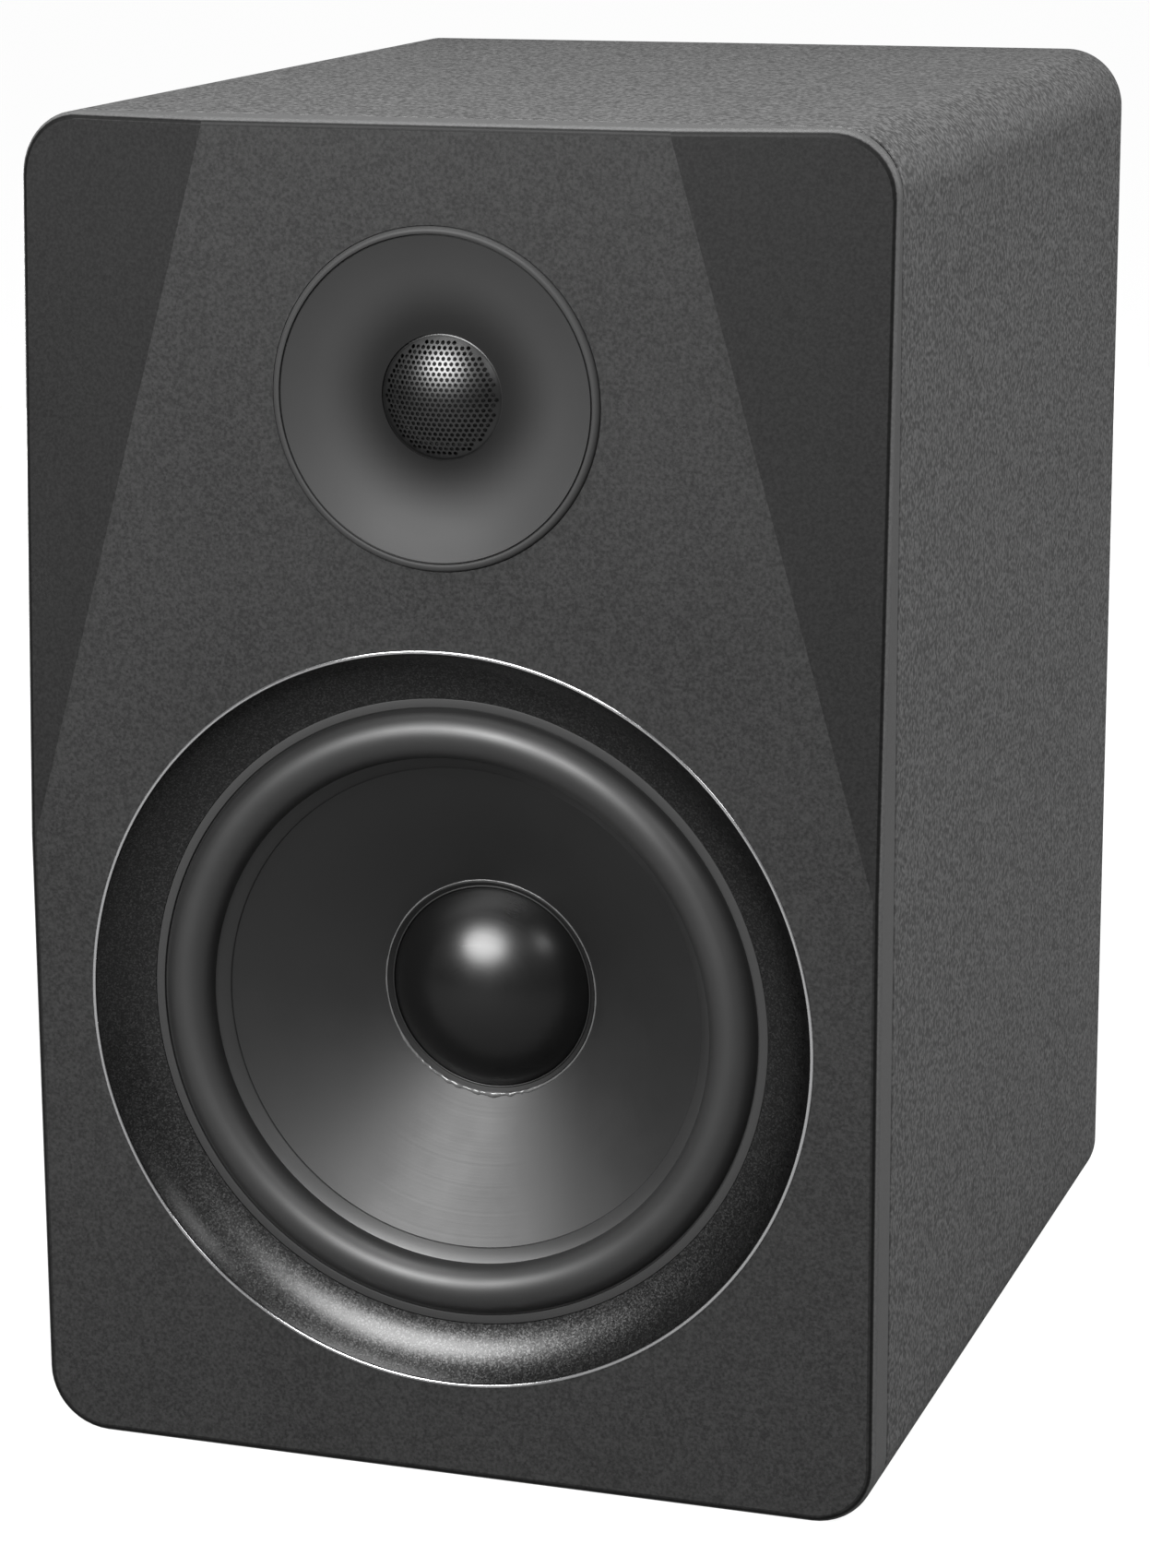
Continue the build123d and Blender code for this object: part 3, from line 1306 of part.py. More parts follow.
woofer_tab = (0, woofer_terminal_y + tab_length + terminal_thickness / 2 + 0.5, woofer_tab_z)
tweeter_tab = (0, tweeter_terminal_y + tab_length + terminal_thickness / 2 + 0.5, tweeter_terminal_z)
board_front_y = board_back_y - board_thickness
lead_end_x = board_width / 2 - 9
woofer_route = [
    woofer_tab,
    (8, woofer_tab[1] + 24, woofer_tab[2] + 1),
    (34, woofer_tab[1] + 62, woofer_tab[2] - 16),
    (lead_end_x - 6, woofer_tab[1] + 112, woofer_tab[2] - 36),
    (lead_end_x, board_front_y - 34, board_z - 26),
    (lead_end_x, board_front_y, board_z - 26),
]
tweeter_route = [
    tweeter_tab,
    (-10, tweeter_tab[1] + 20, tweeter_tab[2] - 8),
    (-34, tweeter_tab[1] + 56, tweeter_tab[2] - 36),
    (6 - lead_end_x, tweeter_tab[1] + 108, tweeter_tab[2] - 78),
    (-lead_end_x, board_front_y - 34, board_z - 22),
    (-lead_end_x, board_front_y, board_z - 22),
]


def route_radii(points):
    """The largest arc each corner of a route allows: 0.45 of its shorter run."""
    radii = []
    for before, here, after in zip(points, points[1:], points[2:]):
        run_in = Vector(*here) - Vector(*before)
        run_out = Vector(*after) - Vector(*here)
        half_turn = radians(run_in.get_angle(run_out)) / 2
        radii.append(0.45 * min(run_in.length, run_out.length) / (sin(half_turn) / cos(half_turn)))
    return radii


with BuildPart() as speaker_leads:
    for route in (woofer_route, tweeter_route):
        print("lead radii", [round(radius, 1) for radius in route_radii(route)])
        with BuildLine() as lead_path:
            FilletPolyline(*route, radius=route_radii(route))
        with BuildSketch(Plane(origin=lead_path.line @ 0, z_dir=lead_path.line % 0)):
            Circle(lead_radius)
        sweep(path=lead_path.line)
finish_piece(speaker_leads, "speaker_leads")
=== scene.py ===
"""Studio view of a powered two-way bookshelf speaker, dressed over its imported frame.

Places are in metres, X right, Y into the depth, Z up. A turned piece's profile is a list of
(depth, radius) points in millimetres: depth behind the front plane, radius from the driver's axis.
"""

import json
import logging
from dataclasses import dataclass, field
from enum import Enum
from math import atan2, cos, hypot, pi, radians, sin, sqrt
from typing import Sequence

import bmesh
import bpy
from mathutils import Matrix, Vector, noise
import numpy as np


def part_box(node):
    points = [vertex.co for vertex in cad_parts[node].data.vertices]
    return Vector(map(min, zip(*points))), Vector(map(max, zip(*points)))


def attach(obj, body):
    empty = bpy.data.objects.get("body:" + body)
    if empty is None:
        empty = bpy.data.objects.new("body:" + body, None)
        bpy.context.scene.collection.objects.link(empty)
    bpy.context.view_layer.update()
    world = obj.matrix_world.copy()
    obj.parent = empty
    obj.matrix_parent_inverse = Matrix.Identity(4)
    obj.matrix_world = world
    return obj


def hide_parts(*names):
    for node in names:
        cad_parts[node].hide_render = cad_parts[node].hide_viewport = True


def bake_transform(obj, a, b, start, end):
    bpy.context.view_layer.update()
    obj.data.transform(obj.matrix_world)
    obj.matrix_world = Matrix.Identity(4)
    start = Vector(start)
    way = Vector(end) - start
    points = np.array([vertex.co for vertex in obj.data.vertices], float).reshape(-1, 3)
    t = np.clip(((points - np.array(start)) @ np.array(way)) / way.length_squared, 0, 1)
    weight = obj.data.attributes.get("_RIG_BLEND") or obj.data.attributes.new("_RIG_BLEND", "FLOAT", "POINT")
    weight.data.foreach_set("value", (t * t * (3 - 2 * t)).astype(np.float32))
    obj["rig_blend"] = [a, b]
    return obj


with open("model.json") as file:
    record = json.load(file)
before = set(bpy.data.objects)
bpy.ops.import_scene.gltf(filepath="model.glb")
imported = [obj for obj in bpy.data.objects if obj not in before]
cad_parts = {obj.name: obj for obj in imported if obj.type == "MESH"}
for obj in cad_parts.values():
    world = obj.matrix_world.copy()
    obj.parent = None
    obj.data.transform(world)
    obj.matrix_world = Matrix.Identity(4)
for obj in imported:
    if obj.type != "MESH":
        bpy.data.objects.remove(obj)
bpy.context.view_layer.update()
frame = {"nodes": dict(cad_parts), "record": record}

MM = 0.001
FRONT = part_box("front_baffle")[0].y

log = logging.getLogger("speaker")
Profile = list[tuple[float, float]]
Point = tuple[float, float, float]


# ---------------------------------------------------------------- shader and node tools


class Wire:
    """An output in a node tree. Python's operators on it add Math nodes."""

    def __init__(self, board: "Board", socket: bpy.types.NodeSocket) -> None:
        """Keeps the board and the output.

        Args:
            board: the tree that the output is in.
            socket: the output.
        """
        self.board = board
        self.socket = socket

    def __add__(self, other: "Wire | float") -> "Wire":
        """The sum."""
        return self.board.math("ADD", self, other)

    def __sub__(self, other: "Wire | float") -> "Wire":
        """The difference."""
        return self.board.math("SUBTRACT", self, other)

    def __mul__(self, other: "Wire | float") -> "Wire":
        """The product."""
        return self.board.math("MULTIPLY", self, other)

    def __truediv__(self, other: "Wire | float") -> "Wire":
        """The quotient."""
        return self.board.math("DIVIDE", self, other)

    def __gt__(self, other: "Wire | float") -> "Wire":
        """1 where this is the greater, else 0."""
        return self.board.math("GREATER_THAN", self, other)

    def __rsub__(self, other: float) -> "Wire":
        """A number less this."""
        return self.board.math("SUBTRACT", other, self)

    __radd__ = __add__
    __rmul__ = __mul__


class Board:
    """A node tree with short ways to add nodes."""

    def __init__(self, tree: bpy.types.NodeTree) -> None:
        """Keeps the tree.

        Args:
            tree: the node tree to build in.
        """
        self.tree = tree

    def node(
        self,
        kind: str,
        settings: dict[str, object] | None = None,
        sockets: dict[str | int, object] | None = None,
        out: str | int = 0,
    ) -> Wire:
        """Adds any node.

        Args:
            kind: the node's type.
            settings: its properties, which are set first.
            sockets: what its inputs hold or take, by name or index.
            out: the output to return.

        Returns:
            The chosen output.
        """
        made = self.tree.nodes.new(kind)
        for key, value in (settings or {}).items():
            setattr(made, key, value)
        for key, value in (sockets or {}).items():
            self.plug(made, key, value)
        return Wire(self, made.outputs[out] if made.outputs else None)

    def plug(self, node: bpy.types.Node, key: str | int, value: object) -> None:
        """Links a wire to an input, or sets the input's value.

        Args:
            node: the node that has the input.
            key: the input's name or index.
            value: a wire or a constant.
        """
        if isinstance(value, Wire):
            self.tree.links.new(value.socket, node.inputs[key])
        else:
            node.inputs[key].default_value = value

    def math(self, operation: str, *values: "Wire | float") -> Wire:
        """Adds a Math node.

        Args:
            operation: Blender's name for the operation.
            values: its inputs, in order.

        Returns:
            The result.
        """
        return self.node("ShaderNodeMath", {"operation": operation}, dict(enumerate(values)))

    def vector(self, operation: str, *values: "Wire | Point", out: str | int = 0) -> Wire:
        """Adds a Vector Math node.

        Args:
            operation: Blender's name for the operation.
            values: its inputs, in order.
            out: the output to return.

        Returns:
            The result.
        """
        return self.node("ShaderNodeVectorMath", {"operation": operation}, dict(enumerate(values)), out)


class Shader(Board):
    """A material's tree, with its textures in millimetres."""

    def __init__(self, material: bpy.types.Material) -> None:
        """Starts from the material's own Principled shader.

        Args:
            material: a new material.
        """
        material.use_nodes = True
        super().__init__(material.node_tree)
        self.principled = self.tree.nodes["Principled BSDF"]
        self.place = self.node("ShaderNodeTexCoord", out="Object")

    def noise(self, size: float, detail: float = 2.0) -> Wire:
        """Cloudy noise from 0 to 1.

        Args:
            size: the size of a cloud, in millimetres.
            detail: how many finer layers it has.

        Returns:
            The noise.
        """
        sockets = {"Vector": self.place, "Scale": 1.0 / (size * MM), "Detail": detail, "Roughness": 0.6}
        return self.node("ShaderNodeTexNoise", None, sockets)

    def cells(self, size: float, feature: str = "F1", out: str = "Distance") -> Wire:
        """Voronoi cells.

        Args:
            size: the size of a cell, in millimetres.
            feature: Blender's name for the cell feature.
            out: Distance, or Color for a random colour in each cell.

        Returns:
            The chosen output.
        """
        sockets = {"Vector": self.place, "Scale": 1.0 / (size * MM)}
        return self.node("ShaderNodeTexVoronoi", {"feature": feature}, sockets, out)

    def radius(self, axis: Point) -> Wire:
        """Distance in millimetres from a line along Y through a point.

        Args:
            axis: a point on the line, in metres.

        Returns:
            The distance.
        """
        flat = {"Vector": self.place, "Location": (-axis[0], 0.0, -axis[2]), "Scale": (1, 0, 1)}
        return self.vector("LENGTH", self.node("ShaderNodeMapping", None, flat), out="Value") * (1 / MM)

    def lean(self, out: str) -> Wire:
        """How far the surface leans away from straight ahead or behind, from 0 to 1.

        Args:
            out: True Normal for the flat faces, or Normal for the smoothed surface.

        Returns:
            The lean.
        """
        sideways = self.vector("MULTIPLY", self.node("ShaderNodeNewGeometry", out=out), (1, 0, 1))
        return self.vector("LENGTH", sideways, out="Value")

    def band(self, value: Wire, low: float, high: float, soft: float) -> Wire:
        """1 between two values, 0 outside, with soft ends.

        Args:
            value: what is compared.
            low: where the band starts.
            high: where it ends.
            soft: the width of each soft end.

        Returns:
            The mask.
        """
        return self.step(value, low, soft) * (1.0 - self.step(value, high, soft))

    def step(self, value: Wire, edge: float, soft: float) -> Wire:
        """0 below an edge and 1 above it, with a soft change.

        Args:
            value: what is compared.
            edge: where it changes.
            soft: the width of the change.

        Returns:
            The mask.
        """
        sockets = {"Value": value, "From Min": edge - soft / 2, "From Max": edge + soft / 2}
        return self.node("ShaderNodeMapRange", {"interpolation_type": "SMOOTHSTEP"}, sockets)

    def tint(self, factor: Wire | float, low: Sequence[float], high: Sequence[float] | Wire) -> Wire:
        """A colour between two.

        Args:
            factor: 0 for the first and 1 for the second.
            low: the first colour.
            high: the second.

        Returns:
            The colour.
        """
        low = (*low[:3], 1.0) if not isinstance(low, Wire) else low
        high = (*high[:3], 1.0) if not isinstance(high, Wire) else high
        return self.node("ShaderNodeMix", {"data_type": "RGBA"}, {0: factor, 6: low, 7: high}, 2)

    def bump(self, height: Wire, depth: float) -> Wire:
        """A bumped normal.

        Args:
            height: the relief, from 0 to 1.
            depth: the relief's depth in millimetres.

        Returns:
            The normal.
        """
        return self.node("ShaderNodeBump", None, {"Height": height, "Distance": depth * MM, "Strength": 1.0})

    def set(self, **sockets: object) -> None:
        """Sets the Principled shader's sockets, named with underscores for spaces."""
        for key, value in sockets.items():
            if isinstance(value, tuple) and len(value) == 3:
                value = (*value, 1.0)
            self.plug(self.principled, key.replace("_", " "), value)


class Recipe(Board):
    """A Geometry Nodes tree with named inputs."""

    def __init__(self, name: str) -> None:
        """Starts a tree with a geometry in and out.

        Args:
            name: the tree's name.
        """
        super().__init__(bpy.data.node_groups.new(name, "GeometryNodeTree"))
        self.identifiers: dict[str, str] = {}
        self.inputs = self.tree.nodes.new("NodeGroupInput")
        self.add("Geometry", "NodeSocketGeometry")
        self.tree.interface.new_socket("Geometry", in_out="OUTPUT", socket_type="NodeSocketGeometry")

    def add(self, name: str, kind: str) -> Wire:
        """Adds a named input.

        Args:
            name: the input's name.
            kind: its socket type.

        Returns:
            The input inside the tree.
        """
        socket = self.tree.interface.new_socket(name, in_out="INPUT", socket_type=kind)
        self.identifiers[name] = socket.identifier
        return self[name]

    def __getitem__(self, name: str) -> Wire:
        """A named input inside the tree."""
        return Wire(self, self.inputs.outputs[name])

    def copies(self, points: Wire, **sockets: Wire) -> Wire:
        """Puts the incoming mesh at every point.

        Args:
            points: where the copies go.
            sockets: more inputs of the node by name.

        Returns:
            The copies.
        """
        places = {"Points": points, "Instance": self["Geometry"], **sockets}
        return self.node("GeometryNodeInstanceOnPoints", None, places)

    def close(self, shape: Wire) -> None:
        """Realizes the instances, sets the material and ends the tree.

        Args:
            shape: the finished geometry.
        """
        real = self.node("GeometryNodeRealizeInstances", None, {"Geometry": shape})
        sockets = {"Geometry": real, "Material": self["Material"]}
        dressed = self.node("GeometryNodeSetMaterial", None, sockets)
        end = self.tree.nodes.new("NodeGroupOutput")
        self.tree.links.new(dressed.socket, end.inputs["Geometry"])

    def run(self, host: bpy.types.Object, **values: object) -> bpy.types.Mesh:
        """Runs the tree on a host object.

        Args:
            host: the object whose mesh goes in.
            values: the tree's inputs by name.

        Returns:
            The resulting plain mesh.
        """
        modifier = host.modifiers.new(self.tree.name, "NODES")
        modifier.node_group = self.tree
        for name, value in values.items():
            modifier[self.identifiers[name]] = value
        mesh = Bench.evaluated(host)
        host.modifiers.remove(modifier)
        return mesh


# ---------------------------------------------------------------- mesh tools


def bow(start: Point, middle: Point, end: Point, steps: int = 24) -> Profile:
    """Points of the circular arc through three profile points.

    Args:
        start: the first (depth, radius) point.
        middle: a point that the arc passes.
        end: the last point.
        steps: how many chords the arc has.

    Returns:
        The points, with both ends.
    """
    (ax, ay), (bx, by), (cx, cy) = start, middle, end
    d = 2 * (ax * (by - cy) + bx * (cy - ay) + cx * (ay - by))
    a2, b2, c2 = ax * ax + ay * ay, bx * bx + by * by, cx * cx + cy * cy
    ux = (a2 * (by - cy) + b2 * (cy - ay) + c2 * (ay - by)) / d
    uy = (a2 * (cx - bx) + b2 * (ax - cx) + c2 * (bx - ax)) / d
    first, through, last = (atan2(y - uy, x - ux) for x, y in (start, middle, end))
    turn, part = (last - first) % (2 * pi), (through - first) % (2 * pi)
    if part > turn:
        turn -= 2 * pi
    size = hypot(ax - ux, ay - uy)
    angles = [first + turn * step / steps for step in range(steps + 1)]
    return [(ux + size * cos(angle), uy + size * sin(angle)) for angle in angles]


def rounded(front: float, low: float, high: float, edge: float, steps: int) -> Profile:
    """The front face of a ring with its two edges rounded.

    Args:
        front: the depth of the face.
        low: the ring's inner radius.
        high: its outer radius.
        edge: the radius of the rounding.
        steps: how many chords each edge has.

    Returns:
        The points, from the outer edge to the inner.
    """
    near = edge * (1 - sqrt(0.5))
    outer = bow((front + edge, high), (front + near, high - near), (front, high - edge), steps)
    return outer + bow((front, low + edge), (front + near, low + near), (front + edge, low), steps)


def spun(axis: Point, depth: float, radius: float, angle: float) -> Point:
    """A profile point in metres, turned by an angle about a line along Y."""
    return (
        axis[0] + radius * MM * cos(angle),
        axis[1] + depth * MM,
        axis[2] + radius * MM * sin(angle),
    )


class Bench:
    """Makes and finishes meshes."""

    @staticmethod
    def link(name: str, mesh: bpy.types.Mesh) -> bpy.types.Object:
        """Puts a mesh in the scene.

        Args:
            name: the object's name.
            mesh: its mesh.

        Returns:
            The object, at the origin.
        """
        made = bpy.data.objects.new(name, mesh)
        bpy.context.scene.collection.objects.link(made)
        return made

    @staticmethod
    def make(
        name: str, points: Sequence[Sequence[float]], faces: Sequence[Sequence[int]], crease: float = 35.0
    ) -> bpy.types.Object:
        """Makes a closed piece with outward normals.

        Args:
            name: the object's name.
            points: its vertices, in metres.
            faces: its faces.
            crease: the angle in degrees past which an edge stays sharp.

        Returns:
            The object.
        """
        mesh = bpy.data.meshes.new(name)
        mesh.from_pydata([tuple(p) for p in points], [], [tuple(f) for f in faces])
        Bench.tidy(mesh, crease)
        return Bench.link(name, mesh)

    @staticmethod
    def tidy(mesh: bpy.types.Mesh, crease: float = 35.0) -> None:
        """Merges doubles, turns faces outwards and smooths between creases.

        Args:
            mesh: the mesh to finish.
            crease: the angle in degrees past which an edge stays sharp.
        """
        work = bmesh.new()
        work.from_mesh(mesh)
        bmesh.ops.remove_doubles(work, verts=work.verts, dist=1e-6)
        bmesh.ops.recalc_face_normals(work, faces=work.faces)
        work.to_mesh(mesh)
        work.free()
        mesh.shade_smooth()
        mesh.set_sharp_from_angle(angle=radians(crease))

    @staticmethod
    def evaluated(piece: bpy.types.Object) -> bpy.types.Mesh:
        """The plain mesh of an object with its modifiers run."""
        bpy.context.view_layer.update()
        graph = bpy.context.evaluated_depsgraph_get()
        return bpy.data.meshes.new_from_object(piece.evaluated_get(graph))

    @staticmethod
    def lathe(
        name: str, profile: Profile, axis: Point, turns: int = 192, crease: float = 35.0
    ) -> bpy.types.Object:
        """Turns a closed profile about a line along Y.

        Args:
            name: the object's name.
            profile: (depth, radius) points in millimetres.
            axis: the line's crossing with the front plane, in metres.
            turns: how many sides the turned piece has.
            crease: the angle in degrees past which an edge stays sharp.

        Returns:
            The object.
        """
        points = [
            spun(axis, depth, radius, 2 * pi * k / turns) for depth, radius in profile for k in range(turns)
        ]
        return Bench.make(name, points, Bench.quads(len(profile), turns), crease)

    @staticmethod
    def quads(rows: int, size: int) -> list[tuple[int, ...]]:
        """The faces between rings of points, the last of which joins the first.

        Args:
            rows: how many rings there are.
            size: how many points a ring has.

        Returns:
            The faces.
        """
        faces = []
        for row in range(rows):
            below = (row + 1) % rows
            for k in range(size):
                after = (k + 1) % size
                faces.append((row * size + k, row * size + after, below * size + after, below * size + k))
        return faces

    @staticmethod
    def block(low: Sequence[float], high: Sequence[float], bevel: float) -> bpy.types.Object:
        """A block with bevelled edges, in millimetres.

        Args:
            low: its lowest corner.
            high: its highest corner.
            bevel: the width of its bevels.

        Returns:
            The block, named unit.
        """
        start, end = Vector(low) * MM, Vector(high) * MM
        work = bmesh.new()
        bmesh.ops.create_cube(work, size=1.0)
        for vertex in work.verts:
            vertex.co = (start + end) / 2 + vertex.co * (end - start)
        bmesh.ops.bevel(work, geom=work.edges, offset=bevel * MM, segments=2, affect="EDGES", profile=0.5)
        mesh = bpy.data.meshes.new("unit")
        work.to_mesh(mesh)
        work.free()
        Bench.tidy(mesh)
        return Bench.link("unit", mesh)

    @staticmethod
    def grown(name: str, host: bpy.types.Object, recipe: Recipe, **values: object) -> bpy.types.Object:
        """Runs a tree on a unit and drops the unit.

        Args:
            name: the new piece's name.
            host: the unit.
            recipe: the tree.
            values: the tree's inputs by name.

        Returns:
            The new piece.
        """
        mesh = recipe.run(host, **values)
        bpy.data.objects.remove(host)
        mesh.shade_smooth()
        mesh.set_sharp_from_angle(angle=radians(35))
        return Bench.link(name, mesh)

    @staticmethod
    def joined(name: str, pieces: Sequence[bpy.types.Object]) -> bpy.types.Object:
        """Puts several pieces in one mesh and drops them.

        Args:
            name: the new piece's name.
            pieces: the pieces.

        Returns:
            The new piece.
        """
        work = bmesh.new()
        for piece in pieces:
            work.from_mesh(piece.data)
            bpy.data.objects.remove(piece)
        mesh = bpy.data.meshes.new(name)
        work.to_mesh(mesh)
        work.free()
        mesh.set_sharp_from_angle(angle=radians(35))
        return Bench.link(name, mesh)


class Dresser:
    """Gives pieces their finish and body, and hides the CAD nodes they stand for."""

    def __init__(self, finishes: dict[str, "Finish"]) -> None:
        """Keeps the finishes.

        Args:
            finishes: the finishes by name, one for each of the record's slots among them.
        """
        self.finishes = finishes
        self.made: dict[str, bpy.types.Material] = {}

    def material(self, slot: str) -> bpy.types.Material:
        """The material of a finish, built once."""
        if slot not in self.made:
            self.made[slot] = self.finishes[slot].build(slot)
        return self.made[slot]

    def dress(self, piece: bpy.types.Object, slot: str) -> None:
        """Gives a piece one material.

        Args:
            piece: the object.
            slot: its finish, which is also the record's slot if that lists it.
        """
        piece.data.materials.clear()
        piece.data.materials.append(self.material(slot))

    def place(
        self, piece: bpy.types.Object, slot: str, body: str = "cabinet", nodes: Sequence[str] = ()
    ) -> None:
        """Dresses a piece, lets it ride on a body and stand for CAD nodes.

        Args:
            piece: the object.
            slot: its finish, which is also the record's slot if that lists it.
            body: the body it moves with.
            nodes: the nodes it stands for.
        """
        self.dress(piece, slot)
        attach(piece, body)
        if nodes:
            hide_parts(*nodes)
        log.info("%s: %d faces, rides on %s", piece.name, len(piece.data.polygons), body)

    def flex(
        self, piece: bpy.types.Object, slot: str, node: str, outer: float, inner: float, axis: Point
    ) -> None:
        """Dresses a ring that bends between the frame and the diaphragm.

        Args:
            piece: the ring.
            slot: its finish, which is also the record's slot if that lists it.
            node: the node it stands for.
            outer: the radius in millimetres where it is fixed.
            inner: the radius where it moves fully.
            axis: a point on its axis, in metres.
        """
        self.dress(piece, slot)
        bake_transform(piece, "cabinet", "woofer_diaphragm", axis, (axis[0], axis[1] + 1.0, axis[2]))
        weights = piece.data.attributes["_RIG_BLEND"].data
        for vertex, weight in zip(piece.data.vertices, weights):
            radius = hypot(vertex.co.x - axis[0], vertex.co.z - axis[2]) / MM
            share = min(1.0, max(0.0, (outer - radius) / (outer - inner)))
            weight.value = share * share * (3 - 2 * share)
        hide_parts(node)
        log.info("%s: %d faces, bends with the cone", piece.name, len(piece.data.polygons))


# ---------------------------------------------------------------- finishes


def grey(level: float) -> tuple[float, float, float]:
    """The linear colour of a display grey from 0 to 255."""
    share = level / 255
    linear = share / 12.92 if share <= 0.04045 else ((share + 0.055) / 1.055) ** 2.4
    return (linear, linear, linear)


def paint(red: float, green: float, blue: float) -> tuple[float, float, float]:
    """The linear colour of three display levels from 0 to 255."""
    return (grey(red)[0], grey(green)[0], grey(blue)[0])


def scaled(colour: Sequence[float], factor: float) -> tuple[float, ...]:
    """A colour made darker or lighter."""
    return tuple(c * factor for c in colour)


BLACK = (0.0, 0.0, 0.0)


@dataclass(frozen=True)
class Finish:
    """A plain moulded, painted or metal finish with fine grain.

    grain and relief are in millimetres, mottle is the share by which the colour varies, level is
    the strength of the shine, and listed, which is not used, says whether the record has a slot for it.
    """

    colour: tuple[float, float, float]
    rough: float = 0.5
    metal: float = 0.0
    grain: float = 0.6
    relief: float = 0.01
    mottle: float = 0.12
    level: float = 0.5
    listed: bool = True

    def build(self, name: str) -> bpy.types.Material:
        """Makes the material.

        Args:
            name: the material's name.

        Returns:
            The material.
        """
        material = bpy.data.materials.new(name + "_finish")
        shader = Shader(material)
        shader.set(Metallic=self.metal, Specular_IOR_Level=self.level)
        self.surface(shader)
        return material

    def surface(self, shader: Shader) -> None:
        """Adds cloudy colour, uneven gloss and fine relief.

        Args:
            shader: the material's tree.
        """
        cloud = shader.noise(18.0, 3.0)
        fine = shader.noise(self.grain, 2.0)
        low, high = scaled(self.colour, 1 - self.mottle), scaled(self.colour, 1 + self.mottle)
        shader.set(
            Base_Color=shader.tint(cloud * 0.5 + fine * 0.5, low, high),
            Roughness=(cloud - 0.5) * self.mottle + self.rough,
            Normal=shader.bump(fine, self.relief),
        )


@dataclass(frozen=True)
class Vinyl(Finish):
    """Matt vinyl wrap with a leathery grain, whose pebbles are in millimetres."""

    pebble: float = 1.2

    def surface(self, shader: Shader) -> None:
        """Adds pebbles, pits between them and a slow unevenness.

        Args:
            shader: the material's tree.
        """
        warp = shader.noise(3.0, 1.0)
        pebbles = shader.cells(self.pebble, "SMOOTH_F1")
        pits = shader.cells(self.pebble * 1.7, "F1")
        fine = shader.noise(0.7, 3.0)
        slow = shader.noise(60.0, 2.0)
        height = (1.0 - pebbles) * 0.55 + pits * 0.2 + fine * 0.35
        tone = shader.step(height, 0.62, 0.36) * 0.8 + warp * 0.12 + slow * 0.08
        shader.set(
            Base_Color=shader.tint(tone, scaled(self.colour, 0.3), scaled(self.colour, 1.75)),
            Roughness=(fine - 0.5) * 0.15 + self.rough,
            Normal=shader.bump(height, self.relief),
        )


@dataclass(frozen=True)
class SatinPaint(Finish):
    """Satin paint with painted shade on the facets and in a dark line where the rim turns, and painted light
    on the rim.

    dull and crease are the shares of black painted as shade on the facets and in the line, and rim is
    how many times the colour the painted light on the rim has.
    """

    # Painted shade on the facets and in the crease line, and painted light on the rim.
    shade_on_facets: float = 0.5
    rim: float = 3.4
    crease: float = 0.85

    def surface(self, shader: Shader) -> None:
        """Adds fine peel, a soft cloud, and the painted shade and painted light that follow the surface's
        lean.

        Args:
            shader: the material's tree.
        """
        peel = shader.noise(0.9, 3.0)
        wave = shader.noise(6.0, 2.0)
        cloud = shader.noise(70.0, 3.0)
        tone = shader.step(peel, 0.5, 0.5) * 0.75 + cloud * 0.25
        turned = shader.lean("Normal")
        # Painted shade on the facets: black mixed in where the flat faces lean a little.
        facet_shade_mask = shader.band(shader.lean("True Normal"), 0.02, 0.25, 0.01) * self.shade_on_facets
        # Painted shade in a dark line where the rounded rim turns.
        crease = shader.band(turned, 0.28, 0.58, 0.06) * self.crease
        # Painted light on the rim and the sides, which lean far from straight ahead.
        rim = shader.step(turned, 0.66, 0.1)
        body = shader.tint(tone, scaled(self.colour, 0.45), scaled(self.colour, 1.55))
        # Mixes in the painted shade of the facets and of the crease line.
        body = shader.tint(crease, shader.tint(facet_shade_mask, body, BLACK), BLACK)
        # The colour of the painted light on the rim, laid over the rest.
        edge = shader.tint(tone, scaled(self.colour, self.rim * 0.8), scaled(self.colour, self.rim * 1.2))
        body = shader.tint(rim, body, edge)
        shader.set(
            Base_Color=body,
            Roughness=(cloud - 0.5) * 0.16 + (peel - 0.5) * 0.1 + facet_shade_mask * 0.25 + self.rough,
            Normal=shader.bump(peel * 0.7 + wave * 0.3, self.relief),
        )


@dataclass(frozen=True)
class Sparkle(Finish):
    """Black paint full of fine metal flakes.

    flake is a flake's size in millimetres, and toss is how far the flakes tilt.
    """

    flake: float = 0.38
    toss: float = 0.05

    def surface(self, shader: Shader) -> None:
        """Adds flakes that each lie and shine a little differently.

        Args:
            shader: the material's tree.
        """
        toss = shader.cells(self.flake, out="Color")
        second = shader.cells(self.flake * 1.9, out="Color")
        flake = shader.node("ShaderNodeSeparateColor", None, {"Color": toss})
        spread = shader.vector("SUBTRACT", shader.tint(0.35, toss, second), (0.5, 0.5, 0.5))
        normal = shader.node("ShaderNodeNewGeometry", out="Normal")
        tilt = shader.vector("MULTIPLY", spread, (self.toss, self.toss, self.toss))
        low, high = scaled(self.colour, 0.66), scaled(self.colour, 1.5)
        shader.set(
            Base_Color=shader.tint(flake * flake * flake, low, high),
            Roughness=flake * 0.12 + self.rough,
            Normal=shader.vector("NORMALIZE", shader.vector("ADD", normal, tilt)),
        )


@dataclass(frozen=True)
class Polished(Finish):
    """A bright, smooth surface with faint haze."""

    def surface(self, shader: Shader) -> None:
        """Adds haze and a trace of waviness.

        Args:
            shader: the material's tree.
        """
        haze = shader.noise(9.0, 4.0)
        wave = shader.noise(2.5, 1.0)
        shader.set(
            Base_Color=shader.tint(haze, scaled(self.colour, 0.9), self.colour),
            Roughness=haze * self.mottle + self.rough,
            Normal=shader.bump(wave, self.relief),
        )


